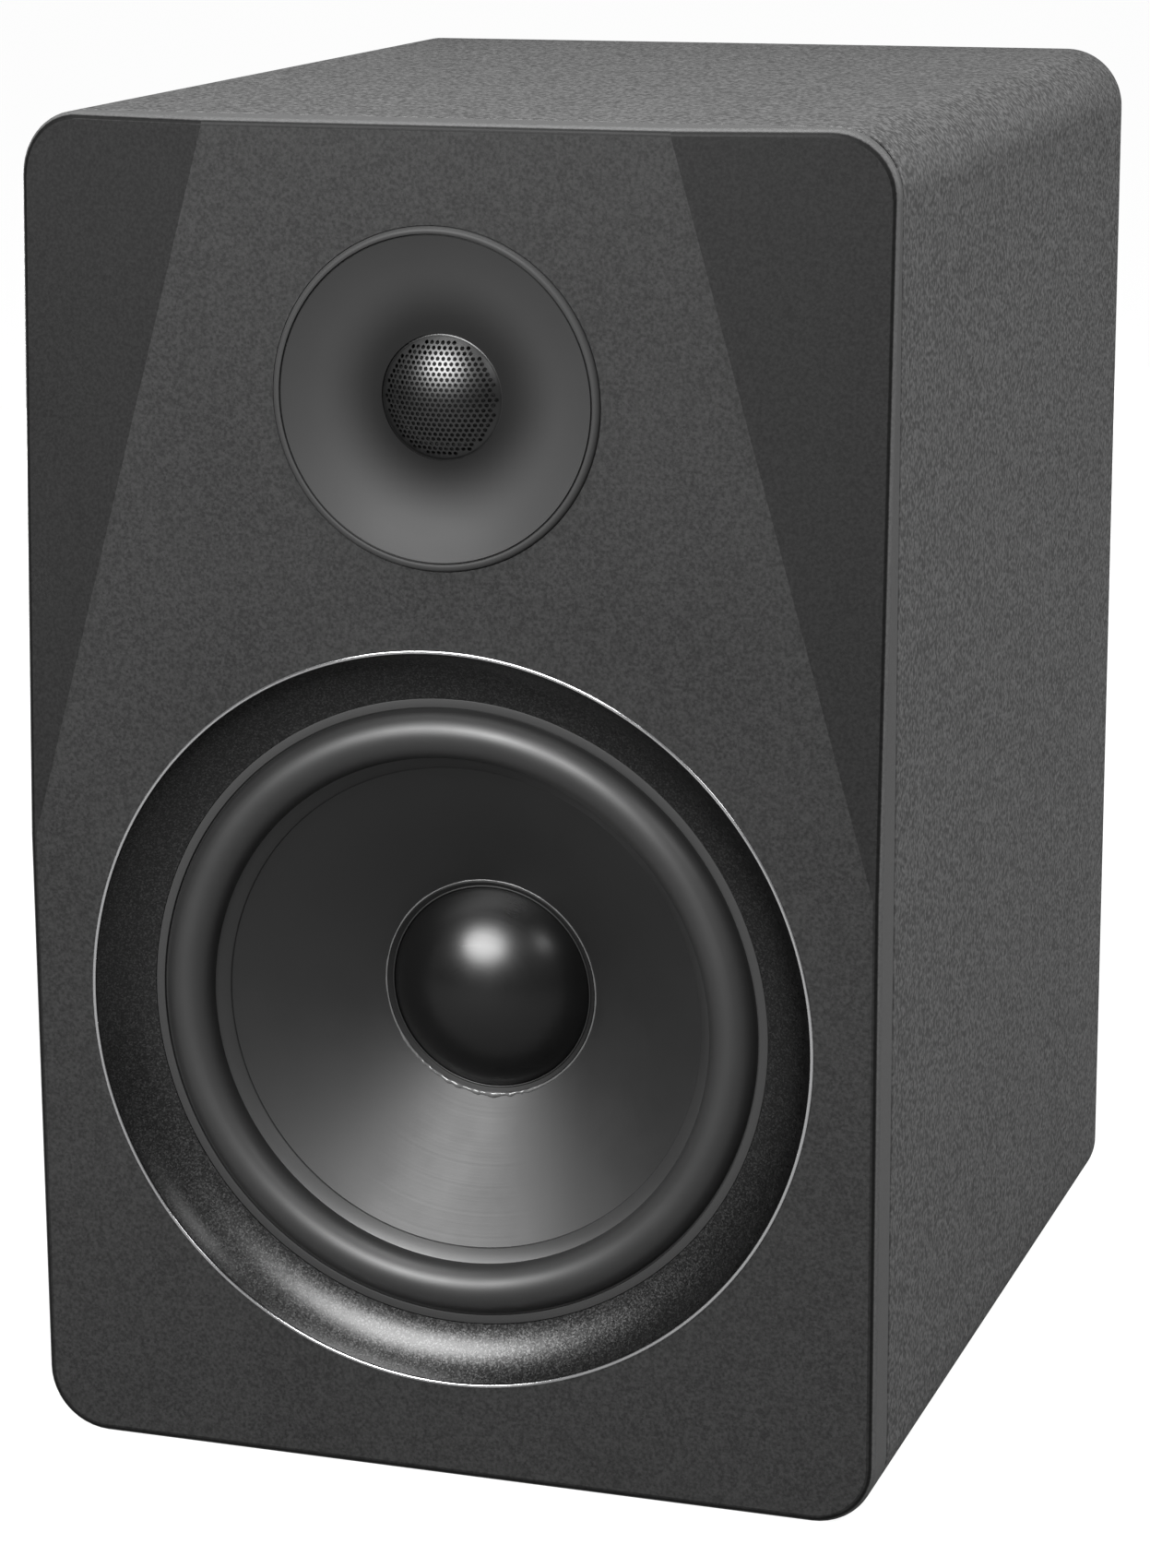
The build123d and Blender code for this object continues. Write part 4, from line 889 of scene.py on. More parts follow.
@dataclass(frozen=True)
class Turned(Finish):
    """A finish whose marks run round a driver's axis.

    ring is the pitch of the marks in millimetres. A throat gives painted shade about that radius, standing
    in for the shade deep in a horn, and a flange is a rougher band between two radii.
    """

    axis: Point = (0, 0, 0)
    ring: float = 0.7
    throat: float = 0.0
    flange: tuple[float, float] = (0.0, 0.0)

    def surface(self, shader: Shader) -> None:
        """Adds faint rings, fine grain, a slow cloud and, with a throat, painted shade about it.

        Args:
            shader: the material's tree.
        """
        radius = shader.radius(self.axis)
        marks = {"W": radius, "Scale": 1 / self.ring, "Detail": 2.0}
        rings = shader.node("ShaderNodeTexNoise", {"noise_dimensions": "1D"}, marks)
        fine = shader.noise(self.grain, 2.0)
        cloud = shader.noise(24.0, 3.0)
        tone = rings * 0.2 + fine * 0.3 + cloud * 0.5
        low, high = scaled(self.colour, 1 - self.mottle), scaled(self.colour, 1 + self.mottle)
        body = shader.tint(tone, low, high)
        # Painted shade: the colour falls to near black about the throat, where shade lies deep in the horn.
        if self.throat:
            clear_of_throat_shade = shader.step(radius, self.throat * 1.5, self.throat * 1.1)
            body = shader.tint(clear_of_throat_shade, scaled(self.colour, 0.12), body)
        rough = (cloud - 0.5) * 0.14 + (rings - 0.5) * 0.05 + self.rough
        if any(self.flange):
            rough = shader.band(radius, *self.flange, 0.3) * 0.3 + rough
        shader.set(
            Base_Color=body,
            Roughness=rough,
            Normal=shader.bump(rings * 0.25 + fine * 0.75, self.relief),
        )


@dataclass(frozen=True)
class Woven(Finish):
    """Cloth dipped in resin, or varnished silk, with a fine square weave."""

    thread: float = 0.5

    def surface(self, shader: Shader) -> None:
        """Adds crossing threads.

        Args:
            shader: the material's tree.
        """
        waves = []
        for direction in ("X", "Z"):
            settings = {"wave_type": "BANDS", "bands_direction": direction}
            sockets = {"Vector": shader.place, "Scale": 0.314 / (self.thread * MM), "Distortion": 0.0}
            waves.append(shader.node("ShaderNodeTexWave", settings, sockets, "Fac"))
        weave = shader.math("MAXIMUM", *waves)
        cloud = shader.noise(6.0, 3.0)
        low, high = scaled(self.colour, 0.7), scaled(self.colour, 1.25)
        shader.set(
            Base_Color=shader.tint(weave * 0.6 + cloud * 0.4, low, high),
            Roughness=(cloud - 0.5) * self.mottle + self.rough,
            Normal=shader.bump(weave, self.relief),
        )


@dataclass(frozen=True)
class Foam(Finish):
    """Open-cell foam."""

    def surface(self, shader: Shader) -> None:
        """Adds open cells.

        Args:
            shader: the material's tree.
        """
        pores = shader.cells(1.1)
        small = shader.cells(0.5)
        height = pores * 0.7 + small * 0.3
        shader.set(
            Base_Color=shader.tint(height, scaled(self.colour, 1.4), scaled(self.colour, 0.35)),
            Roughness=height * 0.1 + self.rough,
            Normal=shader.bump(1.0 - height, self.relief),
        )


def front_axis(node: str) -> Point:
    """Where the middle of a node meets the front plane, in metres."""
    low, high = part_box(node)
    return ((low.x + high.x) / 2, FRONT, (low.z + high.z) / 2)


WOOFER_AXIS = front_axis("woofer_chrome_ring")
TWEETER_AXIS = front_axis("tweeter_waveguide")
TWEETER_THROAT = 17.6

FINISHES: dict[str, Finish] = {
    "vinyl": Vinyl(grey(78), rough=0.6, relief=0.3),
    # The baffle's finish carries painted shade on its facets and crease line and painted light on its rim.
    "baffle_satin": SatinPaint(grey(46), rough=0.48, relief=0.02, level=0.22),
    "chrome_trim": Polished((0.86, 0.86, 0.87), rough=0.09, metal=1.0, relief=0.0005, mottle=0.08),
    "trim_metallic": Sparkle(grey(72), rough=0.27, metal=1.0, level=0.3),
    "soft_gasket": Turned(grey(46), rough=0.6, grain=0.5, relief=0.02, axis=WOOFER_AXIS),
    "rubber_roll": Turned(
        grey(34), rough=0.46, level=0.85, grain=0.4, relief=0.006, mottle=0.1, axis=WOOFER_AXIS
    ),
    "cone_poly": Turned(
        grey(14), rough=0.5, level=0.8, grain=0.5, relief=0.008, mottle=0.14, axis=WOOFER_AXIS
    ),
    "cap_gloss": Turned(
        grey(9),
        rough=0.3,
        level=0.64,
        grain=0.8,
        relief=0.001,
        mottle=0.1,
        axis=WOOFER_AXIS,
        flange=(30.2, 31.9),
    ),
    "glue_clear": Polished(grey(96), rough=0.16, level=0.9, relief=0.002, listed=False),
    "coil_copper": Polished(paint(205, 128, 82), rough=0.28, metal=1.0, relief=0.02),
    "former_aluminium": Polished(grey(205), rough=0.3, metal=1.0, relief=0.004),
    "spider_cloth": Woven(paint(196, 168, 104), rough=0.85, relief=0.08),
    "zinc_steel": Polished(paint(176, 178, 172), rough=0.32, metal=1.0, relief=0.006, mottle=0.15),
    "ferrite": Finish(grey(52), rough=0.7, grain=0.5, relief=0.03, mottle=0.25),
    "frame_black": Finish(grey(40), rough=0.5, grain=0.7, relief=0.02),
    "phenolic": Finish(paint(150, 104, 60), rough=0.55, grain=1.2, mottle=0.3),
    "waveguide_black": Turned(
        grey(58),
        rough=0.48,
        level=0.2,
        grain=0.45,
        relief=0.008,
        mottle=0.1,
        axis=TWEETER_AXIS,
        # The radius about which the painted shade of the throat lies.
        throat=TWEETER_THROAT,
    ),
    "mesh_black": Polished(grey(84), rough=0.27, metal=0.95, relief=0.004, mottle=0.15),
    "dome_silk": Woven(grey(30), rough=0.6, relief=0.02, thread=0.3),
    "port_black": Finish(grey(40), rough=0.42, grain=0.5, relief=0.012),
    "foam_grey": Foam(grey(70), rough=0.88, relief=0.4),
    "plate_black": Finish(grey(44), rough=0.46, grain=0.55, relief=0.03, mottle=0.18),
    "heatsink_black": Finish(grey(34), rough=0.42, metal=0.35, grain=0.5, relief=0.015, mottle=0.2),
    "screw_black": Finish(grey(38), rough=0.32, metal=0.8, grain=0.7, relief=0.008),
    "board_green": Finish(paint(28, 92, 52), rough=0.34, grain=1.5, relief=0.02, mottle=0.3),
    "capacitor_sleeve": Finish(paint(26, 34, 60), rough=0.3, grain=3.0, relief=0.01),
    "chip_epoxy": Finish(grey(36), rough=0.62, grain=0.3, relief=0.01),
    "winding_tape": Finish(paint(212, 176, 72), rough=0.38, grain=2.5, relief=0.08, mottle=0.2),
    "knob_black": Finish(grey(38), rough=0.45, grain=0.4, relief=0.015),
    "socket_black": Finish(grey(36), rough=0.4, grain=0.5, relief=0.01),
    "nickel": Polished(grey(198), rough=0.2, metal=1.0, relief=0.003),
    "fuse_glass": Polished(grey(190), rough=0.12, metal=0.0, relief=0.002),
    "lead_sheath": Finish(paint(150, 26, 24), rough=0.5, grain=2.0, relief=0.01),
}


# ---------------------------------------------------------------- the speaker's sub-assemblies


@dataclass
class Cabinet:
    """The wrapped box: a tube with round corners, rolled in at its front edge. Millimetres.

    seam is how far the wrap starts behind the front, hem and hem_depth are the wrap's turned-in
    part, gap is how far it draws back at the top right corner, and crumple is its folds' height.
    """

    wall: float = 15.0
    corner: float = 18.4
    inner_corner: float = 3.4
    roll: float = 0.8
    seam: float = 1.1
    hem: float = 2.2
    hem_depth: float = 3.0
    gap: float = 3.0
    gap_reach: float = 9.0
    crumple: float = 0.3
    crumple_reach: float = 14.0
    back_edge: float = 0.5
    corner_steps: int = 28
    side_steps: int = 24

    def outline(self, inset: float, corner: float) -> list[tuple[float, float, float, float]]:
        """A round-cornered section.

        Args:
            inset: how far it lies inside the outer face.
            corner: its corner radius.

        Returns:
            Places and outward directions: (x, z, across, up).
        """
        low, high = (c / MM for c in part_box("cabinet_shell"))
        wide, tall = (high.x - low.x) / 2 - inset, (high.z - low.z) / 2 - inset
        middle = (low.z + high.z) / 2
        made = []
        for quarter in range(4):
            start = pi / 2 * quarter
            right = 1 if quarter in (0, 3) else -1
            above = 1 if quarter in (0, 1) else -1
            for step in range(self.corner_steps + 1):
                angle = start + pi / 2 * step / self.corner_steps
                across, up = cos(angle), sin(angle)
                x = right * (wide - corner) + corner * across
                made.append((x, middle + above * (tall - corner) + corner * up, across, up))
            across, up = round(cos(start + pi / 2)), round(sin(start + pi / 2))
            run = 2 * (wide - corner) if up else 2 * (tall - corner)
            x, z = made[-1][:2]
            for step in range(1, self.side_steps):
                gone = run * step / self.side_steps
                made.append((x - up * gone, z + across * gone, across, up))
        return made

    def crumpled(self, x: float, back: float, across: float, up: float) -> float:
        """Height of the folds in the wrap where it turns the top corners, just behind the seam.

        Args:
            x: the place across, whose sign tells the corner.
            back: how far it lies behind the seam.
            across: the part of the outward direction along X.
            up: its part along Z.

        Returns:
            The height.
        """
        if not 0.02 < up < 0.999 or back > self.crumple_reach:
            return 0.0
        turned = atan2(up, abs(across))
        near = sin(2 * turned) ** 2 * (1 - back / self.crumple_reach) ** 2
        side, seed = (1.0, 3.0) if x > 0 else (0.45, 9.0)
        folds = max(0.0, noise.noise(Vector((turned * 7.0, back * 0.12, seed))))
        ridges = max(0.0, sin(turned * 26 + back * 0.15)) ** 3
        return self.crumple * side * near * (folds + 0.35 * ridges)

    def shell(self) -> bpy.types.Object:
        """The wrapped box: rings of points from the hem over the outside to the back and inwards.

        Returns:
            The box.
        """
        low, high = (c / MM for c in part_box("cabinet_shell"))
        seam_y, rear_y = low.y + self.seam, high.y
        turns = [pi / 2 * step / 5 for step in range(5, -1, -1)]
        backs = [0.0, 0.8, 1.8, 3.0, 4.5, 6.5, 9.0, 12.0, 15.0, 40.0, 90.0, 160.0, 230.0]
        rows = [(seam_y + self.hem_depth, self.roll + self.hem, 0.0)]
        rows += [(seam_y + self.roll * (1 - sin(turn)), self.roll * (1 - cos(turn)), 1.0) for turn in turns]
        rows += [(seam_y + self.roll + back, 0.0, 1.0) for back in backs]
        edge = self.back_edge
        rows += [(rear_y - edge, 0.0, 0.0), (rear_y - 0.15, 0.15, 0.0), (rear_y, edge, 0.0)]
        points = []
        for y, inset, loose in rows:
            behind = y - seam_y
            for x, z, across, up in self.outline(inset, self.corner - inset):
                fold = loose * self.crumpled(x, behind, across, up) if behind > self.roll / 2 else 0.0
                pulled = self.gap * max(0.0, 1 - behind / self.gap_reach) * max(0.0, 2 * across * up) ** 2
                back = pulled if x > 0 and z > self.wall and behind < self.gap_reach else 0.0
                points.append(((x - fold * across) * MM, (y + back) * MM, (z - fold * up) * MM))
        for y in (rear_y, seam_y + self.hem_depth):
            points += [(x * MM, y * MM, z * MM) for x, z, _, _ in self.outline(self.wall, self.inner_corner)]
        faces = Bench.quads(len(rows) + 2, 4 * (self.corner_steps + self.side_steps))
        return Bench.make("wrapped_cabinet", points, faces, 40)

    def build(self, dresser: Dresser) -> None:
        """Makes and places the box.

        Args:
            dresser: gives the piece its finish and body.
        """
        dresser.place(self.shell(), "vinyl", nodes=["cabinet_shell"])


@dataclass
class Woofer:
    """The 8 inch driver as seen from the front: rings, roll, cone, cap and glue. Millimetres."""

    axis: Point = WOOFER_AXIS
    chrome_outer: float = 108.4
    chrome_inner: float = 107.4
    chrome_front: float = -0.3
    chrome_back: float = 3.7
    chrome_edge: float = 0.35
    trim_outer: float = 107.3
    trim_inner: float = 92.7
    trim_front: float = 0.3
    trim_end: float = 10.0
    trim_hollow: float = 1.6
    gasket_inner: float = 90.0
    gasket_edge: float = 0.22
    foot: float = 11.0
    foot_outer: float = 94.5
    roll_outer: float = 89.3
    roll_inner: float = 75.3
    roll_crest: float = 5.0
    rubber: float = 0.6
    lip_inner: float = 71.4
    cone_start: float = 16.2
    cone_slope: float = 0.612
    cone_outer: float = 75.9
    cone_inner: float = 19.3
    cap_radius: float = 30.0
    cap_flange: float = 32.1
    cap_rise: float = 15.0
    cap_bead: float = 0.32
    cap_wall: float = 0.6
    glue_size: float = 0.24
    glue_heaviest: float = 262.0
    spider_depth: float = 56.0
    spider_outer: float = 47.5
    spider_inner: float = 19.3
    spider_flat: float = 3.5
    spider_waves: int = 5
    spider_wave: float = 1.4
    spider_cloth: float = 0.5

    def cone_depth(self, radius: float) -> float:
        """The depth of the cone's front face at a radius."""
        return self.cone_start + self.cone_slope * (self.lip_inner - radius)

    def chrome_ring(self) -> bpy.types.Object:
        """The polished ring round the whole driver.

        Returns:
            The ring.
        """
        face = rounded(self.chrome_front, self.chrome_inner, self.chrome_outer, self.chrome_edge, 5)
        profile = [(self.chrome_back, self.chrome_outer), *face, (self.chrome_back, self.chrome_inner)]
        return Bench.lathe("polished_ring", profile, self.axis, 256)

    def trim_ring(self) -> bpy.types.Object:
        """The hollow flaked ring inside the polished one.

        Returns:
            The ring.
        """
        start, end = (self.trim_front, self.trim_outer), (self.trim_end, self.trim_inner)
        run, drop = end[0] - start[0], start[1] - end[1]
        chord = hypot(run, drop)
        middle = (
            (start[0] + end[0]) / 2 + self.trim_hollow * drop / chord,
            (start[1] + end[1]) / 2 + self.trim_hollow * run / chord,
        )
        rebate = self.foot_outer + 0.1
        profile = bow(start, middle, end, 28)
        profile += [(self.foot, self.trim_inner), (self.foot, rebate), (self.foot + 0.5, rebate)]
        profile += [(self.foot + 0.5, self.trim_outer)]
        return Bench.lathe("flaked_ring", profile, self.axis, 256)

    def gasket(self) -> bpy.types.Object:
        """The soft flat ring on the roll's foot, with rounded edges.

        Returns:
            The ring.
        """
        low, high = self.gasket_inner, self.trim_inner - 0.1
        face = rounded(self.trim_end + 0.05, low, high, self.gasket_edge, 4)
        return Bench.lathe("gasket_ring", [(self.foot, high), *face, (self.foot, low)], self.axis, 224)

    def surround(self) -> bpy.types.Object:
        """The half-round rubber roll with its foot and the lip on the cone.

        Returns:
            The roll.
        """
        foot_in = self.cone_depth(self.roll_inner) - self.rubber
        crest = (self.roll_crest, (self.roll_outer + self.roll_inner) / 2)
        roll = bow((self.foot, self.roll_outer), crest, (foot_in, self.roll_inner), 40)
        lip = [(self.cone_depth(self.lip_inner + 0.25) - self.rubber, self.lip_inner + 0.25)]
        lip += [(self.cone_depth(self.lip_inner) - self.rubber * 0.55, self.lip_inner)]
        top = [(self.foot, self.foot_outer), (self.foot, self.roll_outer + 0.25)] + roll[1:] + lip
        under = bow(
            (self.foot + self.rubber, self.roll_outer - self.rubber * 0.2),
            (crest[0] + self.rubber, crest[1]),
            (foot_in + self.rubber, self.roll_inner + self.rubber),
            32,
        )
        profile = top + [(self.cone_depth(self.lip_inner) - 0.02, self.lip_inner)] + under[::-1]
        profile += [(self.foot + self.rubber, self.foot_outer)]
        return Bench.lathe("rubber_surround", profile, self.axis, 224, crease=40)

    def cone(self) -> bpy.types.Object:
        """The moulded cone.

        Returns:
            The cone.
        """
        outer, inner = self.cone_outer, self.cone_inner
        steps = 24
        radii = [outer + (inner - outer) * k / steps for k in range(steps + 1)]
        profile = [(self.cone_depth(r), r) for r in radii]
        profile += [(self.cone_depth(r) + 1.0, r) for r in reversed(radii)]
        return Bench.lathe("moulded_cone", profile, self.axis, 224)

    def dust_cap(self) -> bpy.types.Object:
        """The domed cap with its narrow glued flange and the bead between them.

        Returns:
            The cap.
        """
        base = self.cone_depth(self.cap_radius) - 0.6
        sphere = (self.cap_radius**2 + self.cap_rise**2) / (2 * self.cap_rise)
        steps = 40

        def dome(radius: float, inset: float) -> float:
            """The depth of the dome, or of its inside, at a radius."""
            return base - self.cap_rise + sphere - sqrt((sphere - inset) ** 2 - radius**2)

        outside = [self.cap_radius * (1 - k / steps) for k in range(steps)] + [0.001]
        profile = [(self.cone_depth(self.cap_flange) - 0.1, self.cap_flange)]
        profile += [(self.cone_depth(self.cap_flange - 0.3) - 0.55, self.cap_flange - 0.3)]
        bead, hem = self.cap_bead, self.cap_radius + self.cap_bead
        rest = self.cone_depth(hem) - 0.5
        profile += bow((rest, hem + bead), (rest - bead, hem), (rest, hem - bead * 0.98), 8)
        profile += [(dome(radius, 0.0), radius) for radius in outside]
        inside = [radius for radius in reversed(outside) if radius < self.cap_radius - 1]
        profile += [(dome(radius, self.cap_wall), radius) for radius in inside]
        profile += [(self.cone_depth(self.cap_radius) - 0.02, self.cap_radius)]
        return Bench.lathe("gloss_dust_cap", profile, self.axis, 192, crease=25)

    def glue(self) -> bpy.types.Object:
        """The uneven bead of glue round the cap, thickest low on the left.

        Returns:
            The bead.
        """
        turns, sides = 360, 8
        points = []
        for k in range(turns):
            angle = 2 * pi * k / turns
            low = max(0.0, cos(angle - radians(self.glue_heaviest))) ** 3
            rough = noise.noise(Vector((cos(angle) * 9, sin(angle) * 9, 0.4)))
            lumps = noise.noise(Vector((cos(angle) * 26, sin(angle) * 26, 7.0)))
            heap = low * (0.34 + 0.5 * max(0.0, rough) + 0.4 * max(0.0, lumps))
            size = self.glue_size + 0.1 * rough + heap
            radius = self.cap_flange + 0.12 + 0.25 * lumps * low + size * 0.35
            depth = self.cone_depth(radius) - size * 0.25
            for side in range(sides):
                turn = 2 * pi * side / sides
                deep, out = depth + size * 0.75 * sin(turn), radius + size * cos(turn)
                points.append(spun(self.axis, deep, out, angle))
        return Bench.make("cap_glue", points, Bench.quads(turns, sides), 80)

    def spider(self) -> bpy.types.Object:
        """The corrugated cloth disc that centres the coil, flat at both rims.

        Returns:
            The disc.
        """
        steps = 12 * self.spider_waves
        inner, outer = self.spider_inner + self.spider_flat, self.spider_outer - self.spider_flat
        line = [(self.spider_depth, self.spider_inner)]
        for step in range(steps + 1):
            share = step / steps
            wave = self.spider_wave * sin(2 * pi * self.spider_waves * share)
            line.append((self.spider_depth - wave, inner + (outer - inner) * share))
        line.append((self.spider_depth, self.spider_outer))
        under = [(depth + self.spider_cloth, radius) for depth, radius in reversed(line)]
        return Bench.lathe("corrugated_spider", line + under, self.axis, 144, crease=60)

    def build(self, dresser: Dresser) -> None:
        """Makes and places the driver's pieces.

        Args:
            dresser: gives each piece its finish and body.
        """
        dresser.place(self.chrome_ring(), "chrome_trim", nodes=["woofer_chrome_ring"])
        dresser.place(self.trim_ring(), "trim_metallic", nodes=["woofer_trim_ring"])
        dresser.place(self.gasket(), "soft_gasket", nodes=["woofer_gasket"])
        roll_rims = (self.roll_outer, self.roll_inner)
        dresser.flex(self.surround(), "rubber_roll", "woofer_surround", *roll_rims, self.axis)
        spider_rims = (self.spider_outer - self.spider_flat, self.spider_inner + self.spider_flat)
        dresser.flex(self.spider(), "spider_cloth", "woofer_spider", *spider_rims, self.axis)
        dresser.place(self.cone(), "cone_poly", "woofer_diaphragm", ["woofer_cone"])
        dresser.place(self.dust_cap(), "cap_gloss", "woofer_diaphragm", ["woofer_dust_cap"])
        dresser.place(self.glue(), "glue_clear", "woofer_diaphragm")


@dataclass
class Tweeter:
    """The tweeter's waveguide and its perforated cap. Millimetres."""

    axis: Point = TWEETER_AXIS
    outer: float = 47.5
    back: float = 8.0
    rim_width: float = 2.1
    rim_stand: float = 1.2
    throat: float = TWEETER_THROAT
    throat_depth: float = 5.5
    sag: float = 1.7
    mesh_radius: float = 17.3
    mesh_rise: float = 5.6
    mesh_base: float = 6.1
    mesh_flange: float = 18.8
    pitch: float = 1.6
    hole: float = 0.57
    mesh_blank: float = 1.15
    mesh_bend: float = 0.25
    mesh_wall: float = 0.45

    def waveguide(self) -> bpy.types.Object:
        """The shallow horn with its rim and the fine groove inside the rim.

        Returns:
            The horn.
        """
        groove = self.outer - self.rim_width
        stand = self.rim_stand
        edge = (-stand * 0.9, groove + 0.1)
        lip = (-stand * 0.75, groove - 0.5)
        mouth = (self.throat_depth, self.throat)
        middle = ((lip[0] + mouth[0]) / 2 + self.sag, (lip[1] + mouth[1]) / 2)
        profile = bow(mouth, middle, lip, 48)
        profile += [(-0.2, groove - 0.3), (-0.2, groove), edge]
        profile += bow(edge, (-stand, self.outer - self.rim_width * 0.7), (0.2, self.outer), 12)[1:]
        profile += [(self.back, self.outer), (self.back, self.mesh_flange + 0.2)]
        profile += [(self.mesh_base, self.mesh_flange + 0.2), (self.mesh_base, self.throat)]
        return Bench.lathe("tweeter_horn", profile, self.axis, 224)

    def perforation(self) -> Recipe:
        """The tree that repeats one six-sided cell over a round sheet.

        Returns:
            The tree.
        """
        recipe = Recipe("perforated_sheet")
        pitch = recipe.add("Pitch", "NodeSocketFloat")
        reach = recipe.add("Reach", "NodeSocketFloat")
        count = recipe.add("Count", "NodeSocketInt")
        recipe.add("Material", "NodeSocketMaterial")
        row = pitch * (sqrt(3) / 2)
        sizes = {
            "Size X": pitch * (count - 1.0),
            "Size Y": row * (count - 1.0),
            "Vertices X": count,
            "Vertices Y": count,
        }
        grid = recipe.node("GeometryNodeMeshGrid", None, sizes)
        place = recipe.node("GeometryNodeInputPosition")
        across = recipe.node("ShaderNodeSeparateXYZ", None, {0: place}, "Y") / row
        odd = recipe.math("MODULO", recipe.math("ROUND", recipe.math("ABSOLUTE", across)), 2.0)
        shift = recipe.node("ShaderNodeCombineXYZ", None, {"X": odd * pitch * 0.5})
        lattice = recipe.node("GeometryNodeSetPosition", None, {"Geometry": grid, "Offset": shift})
        far = recipe.vector("LENGTH", recipe.node("GeometryNodeInputPosition"), out="Value") > reach
        outside = {"Geometry": lattice, "Selection": far}
        kept = recipe.node("GeometryNodeDeleteGeometry", {"domain": "POINT"}, outside)
        real = recipe.node("GeometryNodeRealizeInstances", None, {"Geometry": recipe.copies(kept)})
        whole = recipe.node("GeometryNodeMergeByDistance", None, {"Geometry": real, "Distance": 0.02 * MM})
        recipe.close(whole)
        return recipe

    def cell(self) -> bpy.types.Object:
        """One six-sided cell with a round hole, flat in XY.

        Returns:
            The cell.
        """
        points, faces, corners = [], [], 12
        for k in range(corners):
            angle = pi * k / 6
            reach = self.pitch / 2 if k % 2 == 0 else self.pitch / sqrt(3)
            points += [(r * MM * cos(angle), r * MM * sin(angle), 0.0) for r in (reach, self.hole)]
            after = (k + 1) % corners
            faces.append((2 * k, 2 * after, 2 * after + 1, 2 * k + 1))
        mesh = bpy.data.meshes.new("cell")
        mesh.from_pydata(points, [], faces)
        return Bench.link("cell", mesh)

    def depth(self, radius: float) -> float:
        """The depth of the cap's outside at a radius.

        Args:
            radius: the distance from the axis.

        Returns:
            The depth.
        """
        sphere = (self.mesh_radius**2 + self.mesh_rise**2) / (2 * self.mesh_rise)
        if radius >= self.mesh_radius:
            return self.mesh_base
        return self.mesh_base - self.mesh_rise + sphere - sqrt(sphere**2 - radius**2)

    def grille(self, material: bpy.types.Material) -> bpy.types.Object:
        """The perforated cap: a flat sheet of cells, filled out to its flange and then domed.

        Args:
            material: what the tree gives the sheet.

        Returns:
            The cap.
        """
        host = self.cell()
        sheet = self.perforation().run(
            host,
            Pitch=self.pitch * MM,
            Reach=(self.mesh_radius - self.mesh_blank) * MM,
            Count=2 * int(self.mesh_radius / self.pitch) + 3,
            Material=material,
        )
        bpy.data.objects.remove(host)
        work = bmesh.new()
        work.from_mesh(sheet)
        rim = [edge for edge in work.edges if edge.is_boundary]
        rim = [edge for edge in rim if not self._by_hole(edge)]
        for radius in (self.mesh_radius - self.mesh_bend, self.mesh_radius, self.mesh_flange):
            ring = bmesh.ops.create_circle(work, segments=96, radius=radius * MM)["verts"]
            edges = list({edge for vertex in ring for edge in vertex.link_edges if not edge.link_faces})
            bmesh.ops.triangle_fill(work, edges=rim + edges, use_beauty=True)
            rim = edges
        bmesh.ops.recalc_face_normals(work, faces=work.faces)
        for vertex in work.verts:
            x, y = vertex.co.x, vertex.co.y
            deep = self.depth(hypot(x, y) / MM) * MM
            vertex.co = Vector((self.axis[0] + x, self.axis[1] + deep, self.axis[2] + y))
        if sum(face.normal.y for face in work.faces) > 0:
            bmesh.ops.reverse_faces(work, faces=work.faces)
        work.normal_update()
        work.to_mesh(sheet)
        work.free()
        sheet.shade_smooth()
        piece = Bench.link("perforated_cap", sheet)
        wall = piece.modifiers.new("wall", "SOLIDIFY")
        wall.thickness = self.mesh_wall * MM
        wall.offset = -1.0
        mesh = Bench.evaluated(piece)
        piece.modifiers.clear()
        piece.data = mesh
        mesh.set_sharp_from_angle(angle=radians(40))
        return piece

    def _by_hole(self, edge: bmesh.types.BMEdge) -> bool:
        """Tells a hole's edge: it is on a four-sided face and shorter than a cell's outer edges.

        Args:
            edge: an edge with one face.

        Returns:
            Whether it goes round a hole.
        """
        chord = 2 * self.hole * MM * sin(pi / 12)
        return edge.calc_length() < 1.05 * chord and len(edge.link_faces[0].verts) == 4

    def build(self, dresser: Dresser) -> None:
        """Makes and places the waveguide and the cap.

        Args:
            dresser: gives each piece its finish and body.
        """
        dresser.place(self.waveguide(), "waveguide_black", nodes=["tweeter_waveguide"])
        cap = self.grille(dresser.material("mesh_black"))
        dresser.place(cap, "mesh_black", nodes=["tweeter_grille"])


